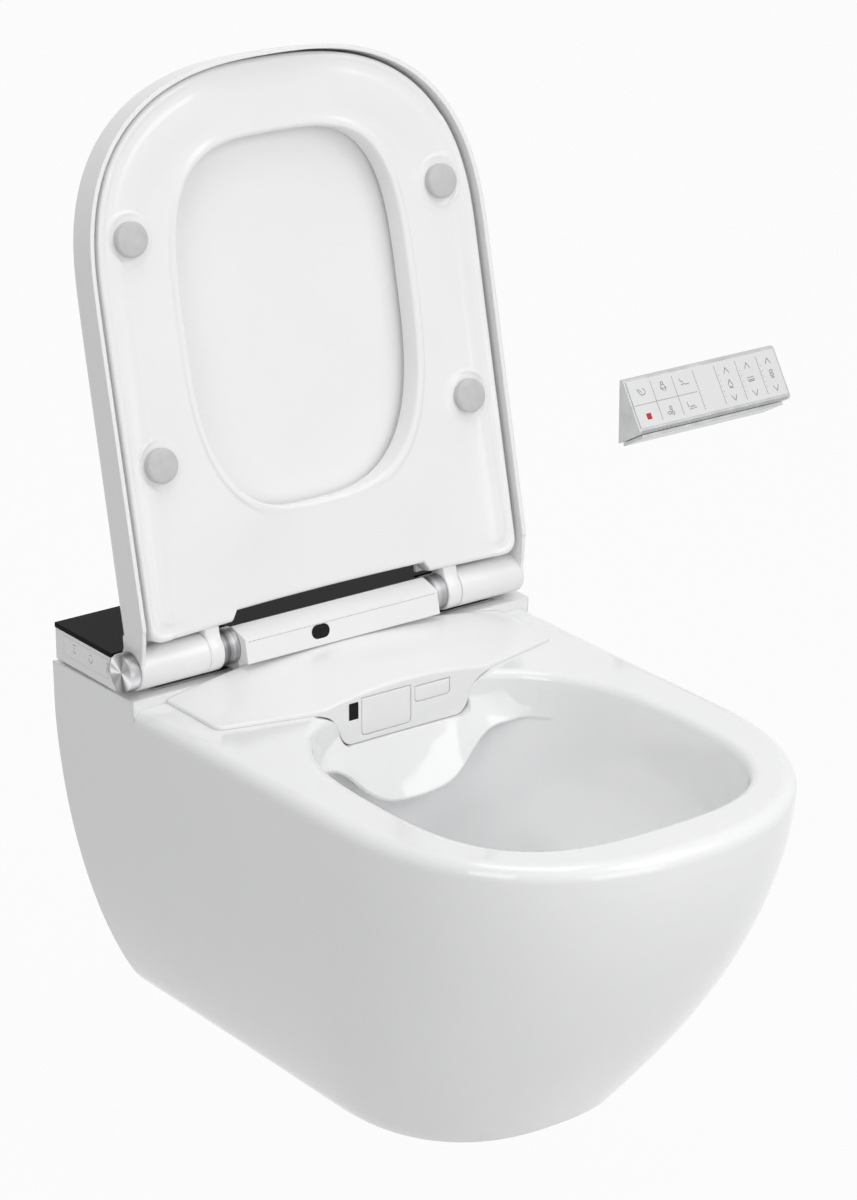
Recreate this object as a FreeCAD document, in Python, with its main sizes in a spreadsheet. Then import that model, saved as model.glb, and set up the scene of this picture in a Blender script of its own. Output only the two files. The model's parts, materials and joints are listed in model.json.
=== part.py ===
"""Wall-hung smart toilet with a heated seat, its nozzle cover, seat, lid, inner
works and wall-docked remote control.  Millimetres.

Frame: X to the right as seen from the front, Y towards the wall, Z up.  The wall
plane is y = 0 and the origin lies midway between the two wall studs.  The seat
and lid are drawn closed, round their hinge axis, and then turned open.
"""
import FreeCAD
import Part

import math
import os
import re

Vector = FreeCAD.Vector
doc = FreeCAD.newDocument("smart_toilet")

# ---------------------------------------------------------------- driving sizes
SIZES = {
    # pan, outside
    "pan_length": 557.0,
    "pan_rear_width": 391.0,
    "pan_bottom_width": 239.6,
    "pan_bottom_length": 396.5,
    "rim_height": 124.0,
    "pan_drop": 167.5,
    "ledge_rise": 8.0,
    "ledge_depth": 110.0,
    "rim_round": 11.0,
    "skin": 12.0,
    # bowl
    "bowl_width": 282.0,
    "bowl_front": 512.0,
    "bowl_rear": 190.0,
    "bowl_depth": 200.0,
    "bowl_round": 7.0,
    "trap_radius": 26.0,
    "trap_skin": 7.0,
    # wall side of the pan
    "stud_spacing": 180.0,
    "stud_hole_radius": 6.5,
    "sleeve_radius": 12.0,
    "flush_radius": 27.5,
    "flush_rise": 35.5,
    "flush_depth": 40.0,
    "flush_duct_radius": 15.0,
    "waste_radius": 45.0,
    "waste_drop": 101.5,
    "waste_depth": 40.0,
    # recess for the works, and the trough for the wash arm
    "recess_width": 330.0,
    "recess_depth": 60.0,
    "trough_width": 92.0,
    "trough_floor": 97.0,
    # hinge line
    "hinge_from_wall": 97.5,
    "hinge_above_rim": 28.4,
    "barrel_radius": 16.2,
    "shaft_radius": 6.0,
    "sleeve_width": 15.2,
    "ring_width": 13.0,
    "damper_radius": 9.9,
    "knob_radius": 15.2,
    "knob_length": 9.6,
    "spindle_radius": 3.0,
    "lean_angle": 12.3,
    # casing
    "casing_width": 385.7,
    "casing_height": 26.0,
    "casing_wall": 2.5,
    "flange_thickness": 2.5,
    "glass_thickness": 4.0,
    "housing_width": 184.8,
    "housing_front": 121.8,
    "housing_height": 35.9,
    # nozzle cover
    "cover_width": 318.8,
    "cover_side_length": 70.0,
    "cover_edge": 4.0,
    "cover_crown_rear": 19.0,
    "cover_crown_front": 8.0,
    "cover_wall": 3.0,
    "lip_top_width": 176.0,
    "lip_bottom_width": 122.0,
    "lip_corner": 10.0,
    "lip_front": 200.5,
    "lip_thickness": 6.0,
    "lip_drop": 31.3,
    # seat
    "seat_width": 350.8,
    "seat_length": 444.7,
    "seat_straight": 280.0,
    "seat_underside": 23.1,
    "seat_rise": 2.5,
    "seat_fall": 2.5,
    "seat_wall": 5.0,
    "opening_width": 211.0,
    "opening_rear": 98.0,
    "opening_front": 386.8,
    "bumper_radius": 13.7,
    # lid
    "lid_width": 367.4,
    "lid_length": 449.7,
    "lid_wall": 3.5,
    "lid_lip": 25.4,
    "lid_rise": 9.0,
    # wash arm and dryer
    "arm_x": -17.5,
    "arm_radius": 6.0,
    "arm_length": 133.0,
    "arm_slope": 8.0,
    "tip_length": 12.0,
    "flap_x": -41.1,
    "flap_width": 47.2,
    "flap_height": 31.5,
    "dryer_x": 9.6,
    "dryer_width": 33.9,
    "dryer_height": 12.7,
    "flap_thickness": 2.4,
    "flap_top_gap": 0.7,
    "pin_below_top": 1.7,
    "pin_radius": 0.9,
    "pinion_radius": 5.5,
    "fan_radius": 32.0,
    "impeller_radius": 24.0,
    # remote control
    "remote_x": 370.0,
    "remote_length": 169.0,
    "remote_top": 256.5,
    "remote_height": 57.0,
    "remote_depth": 32.5,
    "remote_wall": 2.0,
    "dock_thickness": 3.5,
    # clearances
    "running_gap": 0.05,
    "turning_gap": 0.3,
    "moving_gap": 1.0,
    "seam_gap": 0.5,
    "seat_over_cover": 1.6,
}

sheet = doc.addObject("Spreadsheet::Sheet", "sizes")
for row, (alias, value) in enumerate(SIZES.items(), start=1):
    sheet.set("A%d" % row, alias)
    sheet.set("B%d" % row, str(value))
    sheet.setAlias("B%d" % row, alias)
doc.recompute()


class Sizes:
    """The sheet's cells by their alias."""

    def __getattr__(self, alias):
        return float(sheet.get(alias))


size = Sizes()
nodes = []


# ------------------------------------------------------------------ small tools
def formula(text):
    """An expression with each alias pointed at the sheet."""
    return re.sub(r"[a-z]+(_[a-z]+)*", lambda m: "sizes." + m[0] if m[0] in SIZES else m[0], str(text))


def bind(thing, **properties):
    for name, text in properties.items():
        thing.setExpression(name, formula(text))


def place(thing, x=0, y=0, z=0):
    for axis, text in zip("xyz", (x, y, z)):
        thing.setExpression(".Placement.Base." + axis, formula(text))


def box(name, spans, wide=None):
    """A box from its (low, high) spans along X, Y and Z, each an expression."""
    thing = doc.addObject("Part::Box", name)
    for side, (low, high) in zip(("Length", "Width", "Height"), spans):
        bind(thing, **{side: "(%s) - (%s)" % (high, low)})
    place(thing, *(low for low, high in spans))
    return thing


TURNS = {
    "X": FreeCAD.Rotation(Vector(0, 1, 0), 90),
    "Y": FreeCAD.Rotation(Vector(1, 0, 0), -90),
    "Z": FreeCAD.Rotation(),
}


def rod(name, axis, radius, span, across):
    """A cylinder along an axis, from low to high, centred on the other two."""
    thing = doc.addObject("Part::Cylinder", name)
    low, high = span
    bind(thing, Radius=radius, Height="(%s) - (%s)" % (high, low))
    thing.Placement = FreeCAD.Placement(Vector(), TURNS[axis])
    spot = list(across)
    spot.insert("XYZ".index(axis), low)
    place(thing, *spot)
    return thing


def cut(name, base, *tools):
    if len(tools) > 1:
        tools = [fuse(name + "_tools", *tools)]
    thing = doc.addObject("Part::Cut", name)
    thing.Base = base
    thing.Tool = tools[0]
    return thing


def fuse(name, *parts):
    thing = doc.addObject("Part::MultiFuse", name)
    thing.Shapes = list(parts)
    thing.Refine = False
    return thing


def common(name, *parts):
    thing = doc.addObject("Part::MultiCommon", name)
    thing.Shapes = list(parts)
    return thing


def group(name, *parts):
    thing = doc.addObject("Part::Compound", name)
    thing.Links = list(parts)
    return thing


def free_form(name, shape):
    thing = doc.addObject("Part::Feature", name)
    thing.Shape = shape
    return thing


def padded(name, edges, low, high, plane="XY_Plane"):
    """A body with one sketch of the given edges, padded from low to high."""
    body = doc.addObject("PartDesign::Body", name)
    sketch = body.newObject("Sketcher::SketchObject", name + "_outline")
    support = next(item for item in body.Origin.OriginFeatures if item.Role == plane)
    sketch.AttachmentSupport = (support, [""])
    sketch.MapMode = "FlatFace"
    for edge in edges:
        sketch.addGeometry(edge, False)
    bind(sketch, **{".AttachmentOffset.Base.z": low})
    pad = body.newObject("PartDesign::Pad", name + "_pad")
    pad.Profile = sketch
    bind(pad, Length="(%s) - (%s)" % (high, low))
    return body


def rounded(name, base, radius, wanted):
    """Fillets on the edges of base that the test named wanted picks."""
    doc.recompute()
    thing = doc.addObject("Part::Fillet", name)
    thing.Base = base
    chosen = [i for i, edge in enumerate(base.Shape.Edges, start=1) if wanted(edge.BoundBox)]
    thing.Edges = [(i, radius, radius) for i in chosen]
    return thing


def node(thing, name=None):
    thing.Label = name or thing.Name
    nodes.append(thing)
    return thing


def lines(points):
    """Closed polygon edges through flat points."""
    corners = [Vector(a, b, 0) for a, b in points]
    return [Part.LineSegment(p, q) for p, q in zip(corners, corners[1:] + corners[:1])]


def spline(points, closed=False):
    curve = Part.BSplineCurve()
    curve.interpolate(points, PeriodicFlag=closed)
    return curve


def power(value, exponent):
    return math.copysign(abs(value) ** exponent, value)


def drawn_in(points, wall):
    """The corners of a polygon whose sides all lie wall further in."""
    area = sum(p[0] * q[1] - q[0] * p[1] for p, q in zip(points, points[1:] + points[:1]))
    side = wall if area > 0 else -wall
    moved = []
    for before, here, after in zip(points[-1:] + points[:-1], points, points[1:] + points[:1]):
        first = Vector(here[0] - before[0], here[1] - before[1], 0).normalize()
        second = Vector(after[0] - here[0], after[1] - here[1], 0).normalize()
        corner = (Vector(-first.y, first.x, 0) + Vector(-second.y, second.x, 0)).normalize()
        reach = side / corner.dot(Vector(-first.y, first.x, 0))
        moved.append((here[0] + corner.x * reach, here[1] + corner.y * reach))
    return tuple(moved)


def mirrored_outline(half):
    """A smooth curve down the +X side, round the front and back up the -X side."""
    return half + [Vector(-p.x, p.y, p.z) for p in reversed(half) if p.x > 1e-6]


def round_front(half_width, start, straight, front, exponent, level=0.0, steps=9):
    """Half an outline: straight side from start, then a superellipse to the front."""
    half = [Vector(half_width, start + (straight - start) * i / 3, level) for i in range(3)]
    for i in range(steps + 1):
        turn = math.pi / 2 * i / steps
        across = half_width * power(math.cos(turn), 2 / exponent) if i < steps else 0.0
        half.append(Vector(across, straight + (front - straight) * power(math.sin(turn), 2 / exponent), level))
    return half


def front_outline(half_width, start, straight, front, exponent):
    """Closed sketch edges: a straight back edge and one smooth curve round the front."""
    points = mirrored_outline(round_front(half_width, start, straight, front, exponent))
    return [spline(points), Part.LineSegment(points[-1], points[0])]


def egg(half_width, middle, front, rear, front_power, rear_power, level=0.0, steps=32):
    """Points round a closed oval that is blunter at one end."""
    points = []
    for i in range(steps):
        turn = 2 * math.pi * i / steps
        reach, blunt = (front, front_power) if math.sin(turn) > 0 else (rear, rear_power)
        across = half_width * power(math.cos(turn), 2 / blunt)
        points.append(Vector(across, middle - reach * power(math.sin(turn), 2 / blunt), level))
    return points


# ------------------------------------------------------------------ shared sizes
HINGE_Y = "-hinge_from_wall"
HINGE_Z = "(rim_height + hinge_above_rim)"
LEDGE_Z = "(rim_height + ledge_rise)"
CASING_Z = "(rim_height + ledge_rise + flange_thickness)"
GLASS_Z = "(rim_height + ledge_rise + flange_thickness + casing_height)"
hinge_y = -size.hinge_from_wall
hinge_z = size.rim_height + size.hinge_above_rim
ledge_z = size.rim_height + size.ledge_rise
FAR = 700.0


# --------------------------------------------------------------------------- pan
def pan_section(level, inset, back):
    """The pan's level outline: flat at the wall, bowed sides and a rounded front."""
    fall = min(max((size.rim_height - level) / (size.rim_height + size.pan_drop), 0.0), 1.0)
    bottom = size.pan_bottom_width / 2
    wall_half = bottom + (size.pan_rear_width / 2 - bottom) * (1 - fall ** 2) ** 0.817
    front_half = wall_half * (0.956 + 0.024 * fall) - inset
    wall_half = wall_half - inset
    front = -size.pan_bottom_length - (size.pan_length - size.pan_bottom_length) * (1 - fall ** 1.73) ** 1.06
    front = front + inset
    straight = -(355.0 - 87.0 * fall)
    half = []
    for i in range(4):
        near = 1 - i / 4
        half.append(Vector(front_half + (wall_half - front_half) * near ** 2, straight * (1 - near), level))
    half[0].y = back
    half += round_front(front_half, straight, straight, front, 2.27 + 0.19 * fall, level, 10)[3:]
    points = mirrored_outline(half)
    return Part.Wire([spline(points).toShape(), Part.makeLine(points[-1], points[0])])


def pan_solid(inset, bottom, top, back):
    share = (0, 0.03, 0.08, 0.17, 0.27, 0.4, 0.56, 0.74, 0.87, 1)
    levels = [bottom + (top - bottom) * part for part in share]
    return Part.makeLoft([pan_section(level, inset, back) for level in levels], True, False)


def bowl_solid(skin, top):
    """The bowl's hollow, or the same grown by the ceramic's thickness."""
    half = size.bowl_width / 2
    depth = size.bowl_depth
    middle = -357.0
    front = size.bowl_front + middle
    rear = -middle - size.bowl_rear
    # share of the depth, then of the half width and of the reach forwards and backwards, and the shift
    stages = (
        (0.00, 1.00, 1.00, 1.00, 0),
        (0.07, 0.986, 0.99, 0.99, 0),
        (0.22, 0.965, 0.968, 0.97, 1),
        (0.37, 0.908, 0.916, 0.90, 7),
        (0.52, 0.752, 0.787, 0.78, 27),
        (0.67, 0.553, 0.613, 0.63, 57),
        (0.84, 0.390, 0.439, 0.407, 92),
        (1.00, 0.298, 0.323, 0.311, 112),
    )
    wires = []
    for fall, wide, ahead, behind, shift in stages:
        level = size.rim_height - depth * fall
        if fall == 0:
            level = top
        if fall == 1:
            level = level - skin
        points = egg(half * wide + skin, middle + shift, front * ahead + skin, rear * behind + skin, 3.0, 2.6, level)
        curve = spline(points, True)
        halfway = curve.parameter(points[len(points) // 2])
        wires.append(Part.Wire([curve.toShape(curve.FirstParameter, halfway),
                                curve.toShape(halfway, curve.LastParameter)]))
    return Part.makeLoft(wires, True, False)


def pipe(points, bends, radius):
    """A round pipe in the plane x = 0 along straight runs joined by tangent arcs."""
    corners = [Vector(0, y, z) for y, z in points]
    edges = []
    start = corners[0]
    for before, corner, after, bend in zip(corners, corners[1:], corners[2:], bends):
        back = (before - corner).normalize()
        ahead = (after - corner).normalize()
        half = back.getAngle(ahead) / 2
        reach = bend / math.tan(half)
        first = corner + back * reach
        last = corner + ahead * reach
        centre = corner + (back + ahead).normalize() * (bend / math.sin(half))
        middle = centre + (corner - centre).normalize() * bend
        edges.append(Part.makeLine(start, first))
        edges.append(Part.Arc(first, middle, last).toShape())
        start = last
    edges.append(Part.makeLine(start, corners[-1]))
    ring = Part.Wire([Part.makeCircle(radius, corners[0], corners[1] - corners[0])])
    return Part.Wire(edges).makePipeShell([ring], True, True)


sump_z = size.rim_height - size.bowl_depth
trap_points = ((-240.0, sump_z + 26), (-200.0, sump_z + 14), (-142.0, sump_z + 84), (-96.0, -size.waste_drop),
               (-size.waste_depth, -size.waste_drop))
trap_bends = (36.0, 36.0, 36.0)


flush_points = ((-size.flush_depth + 5, size.flush_rise), (-115.0, size.flush_rise), (-170.0, size.flush_rise + 16.0),
                (-212.0, size.flush_rise + 16.0))
flush_bends = (60.0, 60.0)


def hood_section(across, fall, reach, top):
    """The hood cut lengthways: down its face, round the edge and back underneath."""
    start = 13.0
    x = across - 4.0
    rim = size.rim_height
    back = -176.0
    face = []
    for i in range(7):
        part = i / 6
        face.append(Vector(x, -top - (reach - top) * part ** 1.3, rim - start - (fall - start) * part))
    edge = face[-1]
    turned = edge + Vector(0, 3.0, -2.5)
    under = Vector(x, back, rim - fall + 8.0)
    roof = Vector(x, back, rim - start)
    return Part.Wire([
        spline(face).toShape(),
        Part.Arc(edge, edge + Vector(0, 0.8, -1.9), turned).toShape(),
        Part.makeLine(turned, under),
        Part.makeLine(under, roof),
        Part.makeLine(roof, face[0]),
    ])


def hood_solid():
    """The ceramic hood under the lip, whose bell-shaped edge hides the flush water's mouth."""
    # away from the middle, the edge below the rim and out from the wall, the top out from the wall
    stages = (
        (0.0, 77.0, 225.0, 195.0),
        (15.0, 76.3, 225.0, 195.0),
        (31.0, 72.4, 225.0, 195.5),
        (44.0, 65.0, 223.0, 196.0),
        (55.0, 54.5, 221.0, 197.0),
        (65.0, 45.0, 220.0, 198.0),
        (78.0, 38.6, 220.0, 203.0),
        (96.0, 36.5, 223.0, 214.5),
        (110.0, 35.5, 234.0, 229.0),
        (121.0, 34.5, 247.0, 244.0),
        (131.0, 34.0, 257.0, 256.0),
    )
    mirrored = [(-across, *rest) for across, *rest in reversed(stages[1:])]
    return Part.makeLoft([hood_section(*stage) for stage in mirrored + list(stages)], True, False)


def ceramic_pan():
    outside = free_form("pan_outside", pan_solid(0.0, -size.pan_drop, ledge_z, 3.0))
    lowered = box("rim_step", (("-300", "300"), ("-pan_length - 50", "-ledge_depth"), ("rim_height", "rim_height + 40")))
    behind = box("behind_wall", (("-300", "300"), ("0", "10"), ("-pan_drop - 10", "rim_height + 40")))
    stepped = cut("pan_stepped", outside, lowered, behind)
    rim = size.rim_height
    step = -size.ledge_depth
    soft = rounded("pan_rounded", stepped, size.rim_round,
                   lambda b: b.ZMin > rim - 0.1 and b.ZMax < rim + 0.1 and b.YMin < step - 5)
    hollow = cut("pan_bowled", soft, cut("bowl_hooded", free_form("bowl", bowl_solid(0.0, rim + 0.5)),
                                         free_form("hood", hood_solid())))
    opened = rounded("pan_opened", hollow, size.bowl_round,
                     lambda b: b.ZMin > rim - 0.1 and b.ZMax < rim + 0.1 and b.XMax < size.bowl_width / 2 + 5
                     and b.YMin < step - 5)
    skin = size.skin
    inside = free_form("pan_inside", pan_solid(skin, -size.pan_drop + skin, rim - skin, -skin))
    keep = [
        free_form("bowl_skin", bowl_solid(skin, rim + 0.5)),
        free_form("trap_skin", pipe(trap_points, trap_bends, size.trap_radius + size.trap_skin)),
        rod("waste_skin", "Y", "waste_radius + 9", ("-waste_depth - 9", "0"), ("0", "-waste_drop")),
        free_form("flush_skin", pipe(flush_points, flush_bends, size.flush_duct_radius + 9)),
        rod("flush_boss", "Y", "flush_radius + 9", ("-flush_depth - 9", "0"), ("0", "flush_rise")),
        box("recess_skin", (("-300", "300"), ("-ledge_depth - 100", "0"),
                            ("rim_height + ledge_rise - recess_depth - skin", "rim_height + 50"))),
    ]
    core = cut("pan_core", inside, *keep)
    window = box("rear_window", (("-90", "90"), ("-skin - 1", "1"), ("-pan_drop + skin", "-48")))
    window_core = cut("rear_window_core", window, rod("waste_boss", "Y", "waste_radius + 9", ("-20", "2"),
                                                      ("0", "-waste_drop")))
    hollows = [
        core,
        window_core,
        box("recess", (("-recess_width/2", "recess_width/2"), ("-ledge_depth + skin", "-skin"),
                       ("rim_height + ledge_rise - recess_depth", "rim_height + 60"))),
        box("trough", (("-trough_width/2", "trough_width/2"), ("-lip_front", "-ledge_depth + skin + 1"),
                       ("trough_floor", "rim_height + 60"))),
        lip_solid("lip_pocket", 0.6, "-lip_front - 15", "-lip_front + lip_thickness + 0.6"),
        free_form("trap", pipe(trap_points, trap_bends, size.trap_radius)),
        rod("waste_bore", "Y", "waste_radius", ("-waste_depth", "1"), ("0", "-waste_drop")),
        free_form("flush_duct", pipe(flush_points, flush_bends, size.flush_duct_radius)),
        rod("flush_bore", "Y", "flush_radius", ("-flush_depth", "1"), ("0", "flush_rise")),
        rod("gland_hole", "Y", "9.2", ("-skin - 1", "1"), ("60", "102")),
        rod("water_hole", "Y", "9.2", ("-skin - 1", "1"), ("-60", "102")),
    ]
    for side in (-1, 1):
        hollows.append(rod("stud_hole", "Y", "sleeve_radius + running_gap", ("-skin - 1", "1"),
                           ("%d * stud_spacing/2" % side, "0")))
        for depth in (25, 70):
            hollows.append(rod("screw_hole", "Z", "3.1", ("rim_height + ledge_rise - 18", "rim_height + 60"),
                               ("%d * (recess_width/2 + 11)" % side, "-%d" % depth)))
    node(cut("ceramic_pan", opened, *hollows))


# ------------------------------------------------------------------ nozzle cover
def lip_edges(grow):
    """The lip's outline seen from the front: wide at the top, drawn in below."""
    low = size.rim_height - size.lip_drop - grow
    high = size.rim_height + 1.0
    bend = size.lip_corner
    bottom = size.lip_bottom_width / 2 + grow
    spread = (size.lip_top_width - size.lip_bottom_width) / 2
    right = []
    for i in range(7):
        rise = i / 6
        right.append(Vector(bottom + spread * rise ** 2.8, low + bend + (high - low - bend) * rise, 0))
    corner = Vector(bottom - bend, low, 0)
    arc_middle = corner + Vector(bend * math.sin(math.pi / 4), bend - bend * math.cos(math.pi / 4), 0)
    left = [Vector(-p.x, p.y, 0) for p in right]
    return [
        spline(right),
        Part.LineSegment(right[-1], left[-1]),
        spline(left),
        Part.Arc(left[0], Vector(-arc_middle.x, arc_middle.y, 0), Vector(-corner.x, corner.y, 0)),
        Part.LineSegment(Vector(-corner.x, corner.y, 0), corner),
        Part.Arc(corner, arc_middle, right[0]),
    ]


def lip_solid(name, grow, low, high):
    """The lip's outline padded along Y.  The XZ plane looks the other way."""
    return padded(name, lip_edges(grow), "-(%s)" % high, "-(%s)" % low, "XZ_Plane")


def crown(name, lift):
    """Everything under the cover's domed top, raised or lowered by lift."""
    half = size.cover_width / 2
    wires = []
    top = size.rim_height + lift
    for y, rise in ((-size.ledge_depth + 12, size.cover_crown_rear), (-size.lip_front - 4, size.cover_crown_front)):
        left = Vector(-half, y, top + size.cover_edge)
        right = Vector(half, y, top + size.cover_edge)
        floor_left = Vector(-half, y, size.rim_height - 5)
        floor_right = Vector(half, y, size.rim_height - 5)
        arch = Part.Arc(left, Vector(0, y, top + rise), right).toShape()
        wires.append(Part.Wire([arch, Part.makeLine(right, floor_right), Part.makeLine(floor_right, floor_left),
                                Part.makeLine(floor_left, left)]))
    return free_form(name, Part.makeLoft(wires, True, True))


def cover_plan(inset):
    rear = -size.ledge_depth - 0.4 - inset
    side = size.cover_width / 2 - inset
    corner = rear - size.cover_side_length + inset
    front = -size.lip_front + inset
    return lines(((side, rear), (side, corner), (size.lip_top_width / 2, front), (-size.lip_top_width / 2, front),
                  (-side, corner), (-side, rear)))


def flap_openings():
    """The three holes through the lip, for both flaps and the dark lens."""
    through = ("-lip_front - 1", "-lip_front + lip_thickness + 1")
    return [
        box("nozzle_hole", (("flap_x", "flap_x + flap_width"), through,
                            ("rim_height + 4.9 - flap_height", "rim_height + 4.9"))),
        box("dryer_hole", (("dryer_x", "dryer_x + dryer_width"), through,
                           ("rim_height + 1.9 - dryer_height", "rim_height + 1.9"))),
        box("lens_hole", (("flap_x - 11.7", "flap_x - 3"), through, ("rim_height - 11.3", "rim_height + 2.5"))),
    ]


def pivot_holes():
    axis = "-lip_front + flap_thickness/2"
    return [
        rod("nozzle_pivot", "X", "pin_radius + running_gap", ("flap_x - 2", "flap_x + flap_width + 2"),
            (axis, "rim_height + 4.9 - pin_below_top")),
        rod("dryer_pivot", "X", "pin_radius + running_gap", ("dryer_x - 1.2", "dryer_x + dryer_width + 2"),
            (axis, "rim_height + 1.9 - pin_below_top")),
    ]


def nozzle_cover():
    shell = common("cover_outside", padded("cover_plan", cover_plan(0.0), "rim_height", "rim_height + 30"),
                   crown("cover_crown", 0.0))
    low = -size.cover_wall
    inside = common("cover_inside", padded("cover_plan_inside", cover_plan(size.cover_wall), "rim_height - 3",
                                           "rim_height + 30"), crown("cover_crown_inside", low))
    lip = lip_solid("lip", 0.0, "-lip_front", "-lip_front + lip_thickness")
    brow = common("lip_brow", box("brow_block", (("-lip_top_width/2 + 4", "lip_top_width/2 - 4"),
                                                 ("-lip_front", "-lip_front + lip_thickness"),
                                                 ("rim_height", "rim_height + 30"))), crown("brow_crown", 0.0))
    whole = fuse("cover_whole", cut("cover_shell", shell, inside), lip, brow)
    node(cut("nozzle_cover", whole, *flap_openings(), *pivot_holes()))
    node(box("lip_lens", (("flap_x - 11.7", "flap_x - 3"), ("-lip_front", "-lip_front + 3"),
                          ("rim_height - 11.3", "rim_height + 2.5"))))


def flap(name, x, width, top, height, reach_left, reach_right):
    """A thin door that swings on two stub pins at its top edge."""
    gap = "seam_gap"
    plate = box(name + "_plate", (("%s + %s" % (x, gap), "%s + %s - %s" % (x, width, gap)),
                                  ("-lip_front", "-lip_front + flap_thickness"),
                                  ("%s - %s + %s" % (top, height, gap), "%s - flap_top_gap" % top)))
    pin = rod(name + "_pin", "X", "pin_radius", ("%s - %s" % (x, reach_left), "%s + %s + %s" % (x, width, reach_right)),
              ("-lip_front + flap_thickness/2", "%s - pin_below_top" % top))
    node(fuse(name, plate, pin))


# ------------------------------------------------------------------- casing parts
def barrel_room(name, low, high):
    return rod(name, "X", "barrel_radius + moving_gap", (low, high), (HINGE_Y, HINGE_Z))


def rooms(name):
    return [
        barrel_room(name + "_left", "-casing_width/2 - 5", "-housing_width/2 + turning_gap"),
        barrel_room(name + "_right", "housing_width/2 - turning_gap", "casing_width/2 + 5"),
    ]


def technical_box():
    outer = box("casing_outer", (("-casing_width/2", "casing_width/2"), ("-88", "-2"), (CASING_Z, GLASS_Z)))
    inner = box("casing_inner", (("-casing_width/2 + casing_wall", "casing_width/2 - casing_wall"),
                                 ("-77.5", "-2 - casing_wall"), (CASING_Z + " - 1", GLASS_Z + " - casing_wall")))
    node(cut("technical_box", outer, inner, *rooms("casing_room")))
    wide = box("glass_wide", (("-casing_width/2 - 0.4", "casing_width/2 + 0.4"), ("-86", "-1.5"),
                              (GLASS_Z, GLASS_Z + " + glass_thickness")))
    middle = box("glass_middle", (("-housing_width/2 + 0.9", "housing_width/2 - 0.9"), ("-96.7", "-80"),
                                  (GLASS_Z, GLASS_Z + " + glass_thickness")))
    node(cut("glass_top", fuse("glass_plate", wide, middle), *rooms("glass_room")))
    node(box("side_touch_film", (("-casing_width/2 - 0.3", "-casing_width/2"), ("-79", "-14"),
                                 (CASING_Z + " + 7", CASING_Z + " + 23"))))


def base_tray():
    low = "rim_height + ledge_rise - recess_depth"
    tub = box("tub_outer", (("-recess_width/2 + 1", "recess_width/2 - 1"), ("-ledge_depth + skin + 1", "-skin - 1"),
                            (low, LEDGE_Z)))
    room = box("tub_inner", (("-recess_width/2 + 3", "recess_width/2 - 3"), ("-ledge_depth + skin + 3", "-skin - 3"),
                             (low + " + 2", CASING_Z + " + 1")))
    flange = box("tub_flange", (("-casing_width/2 + 4", "casing_width/2 - 4"), ("-86", "-6"), (LEDGE_Z, CASING_Z)))
    front = box("tub_front", (("-trough_width/2 + 1", "trough_width/2 - 1"), ("-ledge_depth + skin", "-ledge_depth + 20"),
                              ("trough_floor + 0.3", CASING_Z + " + 1")))
    holes = [rod("tray_gland_hole", "Y", "9.2", ("-20", "-10"), ("60", "102")),
             rod("tray_water_hole", "Y", "9.2", ("-20", "-10"), ("-60", "102"))]
    screws = []
    for side in (-1, 1):
        for depth in (25, 70):
            spot = ("%d * (recess_width/2 + 11)" % side, "-%d" % depth)
            holes.append(rod("tray_screw_hole", "Z", "3.1", (LEDGE_Z + " - 1", CASING_Z + " + 1"), spot))
            shank = rod("screw_shank", "Z", "3", (LEDGE_Z + " - 16", CASING_Z), spot)
            head = rod("screw_head", "Z", "5", (CASING_Z, CASING_Z + " + 2.4"), spot)
            screws.append(fuse("screw", shank, head))
    node(cut("base_tray", fuse("tray_whole", tub, flange), room, front, *holes))
    node(group("tray_screws", *screws))


def housing_profile():
    """Side view of the sensor housing, as (y, z) corners."""
    top = ledge_z + size.housing_height
    front = -size.housing_front
    ridge = hinge_y - 1
    back = -88.3
    deck = ledge_z + size.flange_thickness + size.casing_height - 0.2
    chin = ledge_z + 11.3
    step = -size.ledge_depth + 0.6
    floor = ledge_z + 0.2
    return ((front, chin), (front + 4.1, top - 5.3), (ridge, top), (ridge + 1.3, top - 1), (ridge + 1.3, deck),
            (back, deck), (back, floor), (step, floor), (step, chin))


def side_pad(name, corners, low, high):
    """A side view padded along X."""
    return padded(name, lines(corners), low, high, "YZ_Plane")


def sensor_housing():
    outer = side_pad("housing_outer", housing_profile(), "-housing_width/2", "housing_width/2")
    corners = housing_profile()
    room = list(drawn_in(corners[:3] + corners[4:], size.casing_wall))
    room[5] = (room[5][0], ledge_z - 2)
    room[6] = (room[6][0], ledge_z - 2)
    inner = side_pad("housing_inner", room, "-housing_width/2 + casing_wall", "housing_width/2 - casing_wall")
    holes = rod("housing_holes", "X", "shaft_radius + turning_gap", ("-housing_width/2 - 1", "housing_width/2 + 1"),
                (HINGE_Y, HINGE_Z))
    eye_z = ledge_z + 22.3
    eye_x = -22.3
    half = 3.0
    ends = (Vector(eye_x - half, eye_z + 5.5, 0), Vector(eye_x + half, eye_z + 5.5, 0),
            Vector(eye_x + half, eye_z - 5.5, 0), Vector(eye_x - half, eye_z - 5.5, 0))
    stadium = [
        Part.LineSegment(ends[0], ends[1]),
        Part.Arc(ends[1], Vector(eye_x + half + 5.5, eye_z, 0), ends[2]),
        Part.LineSegment(ends[2], ends[3]),
        Part.Arc(ends[3], Vector(eye_x - half - 5.5, eye_z, 0), ends[0]),
    ]
    tool = padded("window_tool", stadium, "housing_front - 6", "housing_front + 2", "XZ_Plane")
    node(cut("sensor_housing", cut("housing_shell", outer, inner), holes, tool))
    eye = padded("window_blank", stadium, "housing_front - 6", "housing_front + 2", "XZ_Plane")
    whole = side_pad("window_face", housing_profile(), "-housing_width/2", "housing_width/2")
    node(common("sensor_window", eye, whole))


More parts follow.
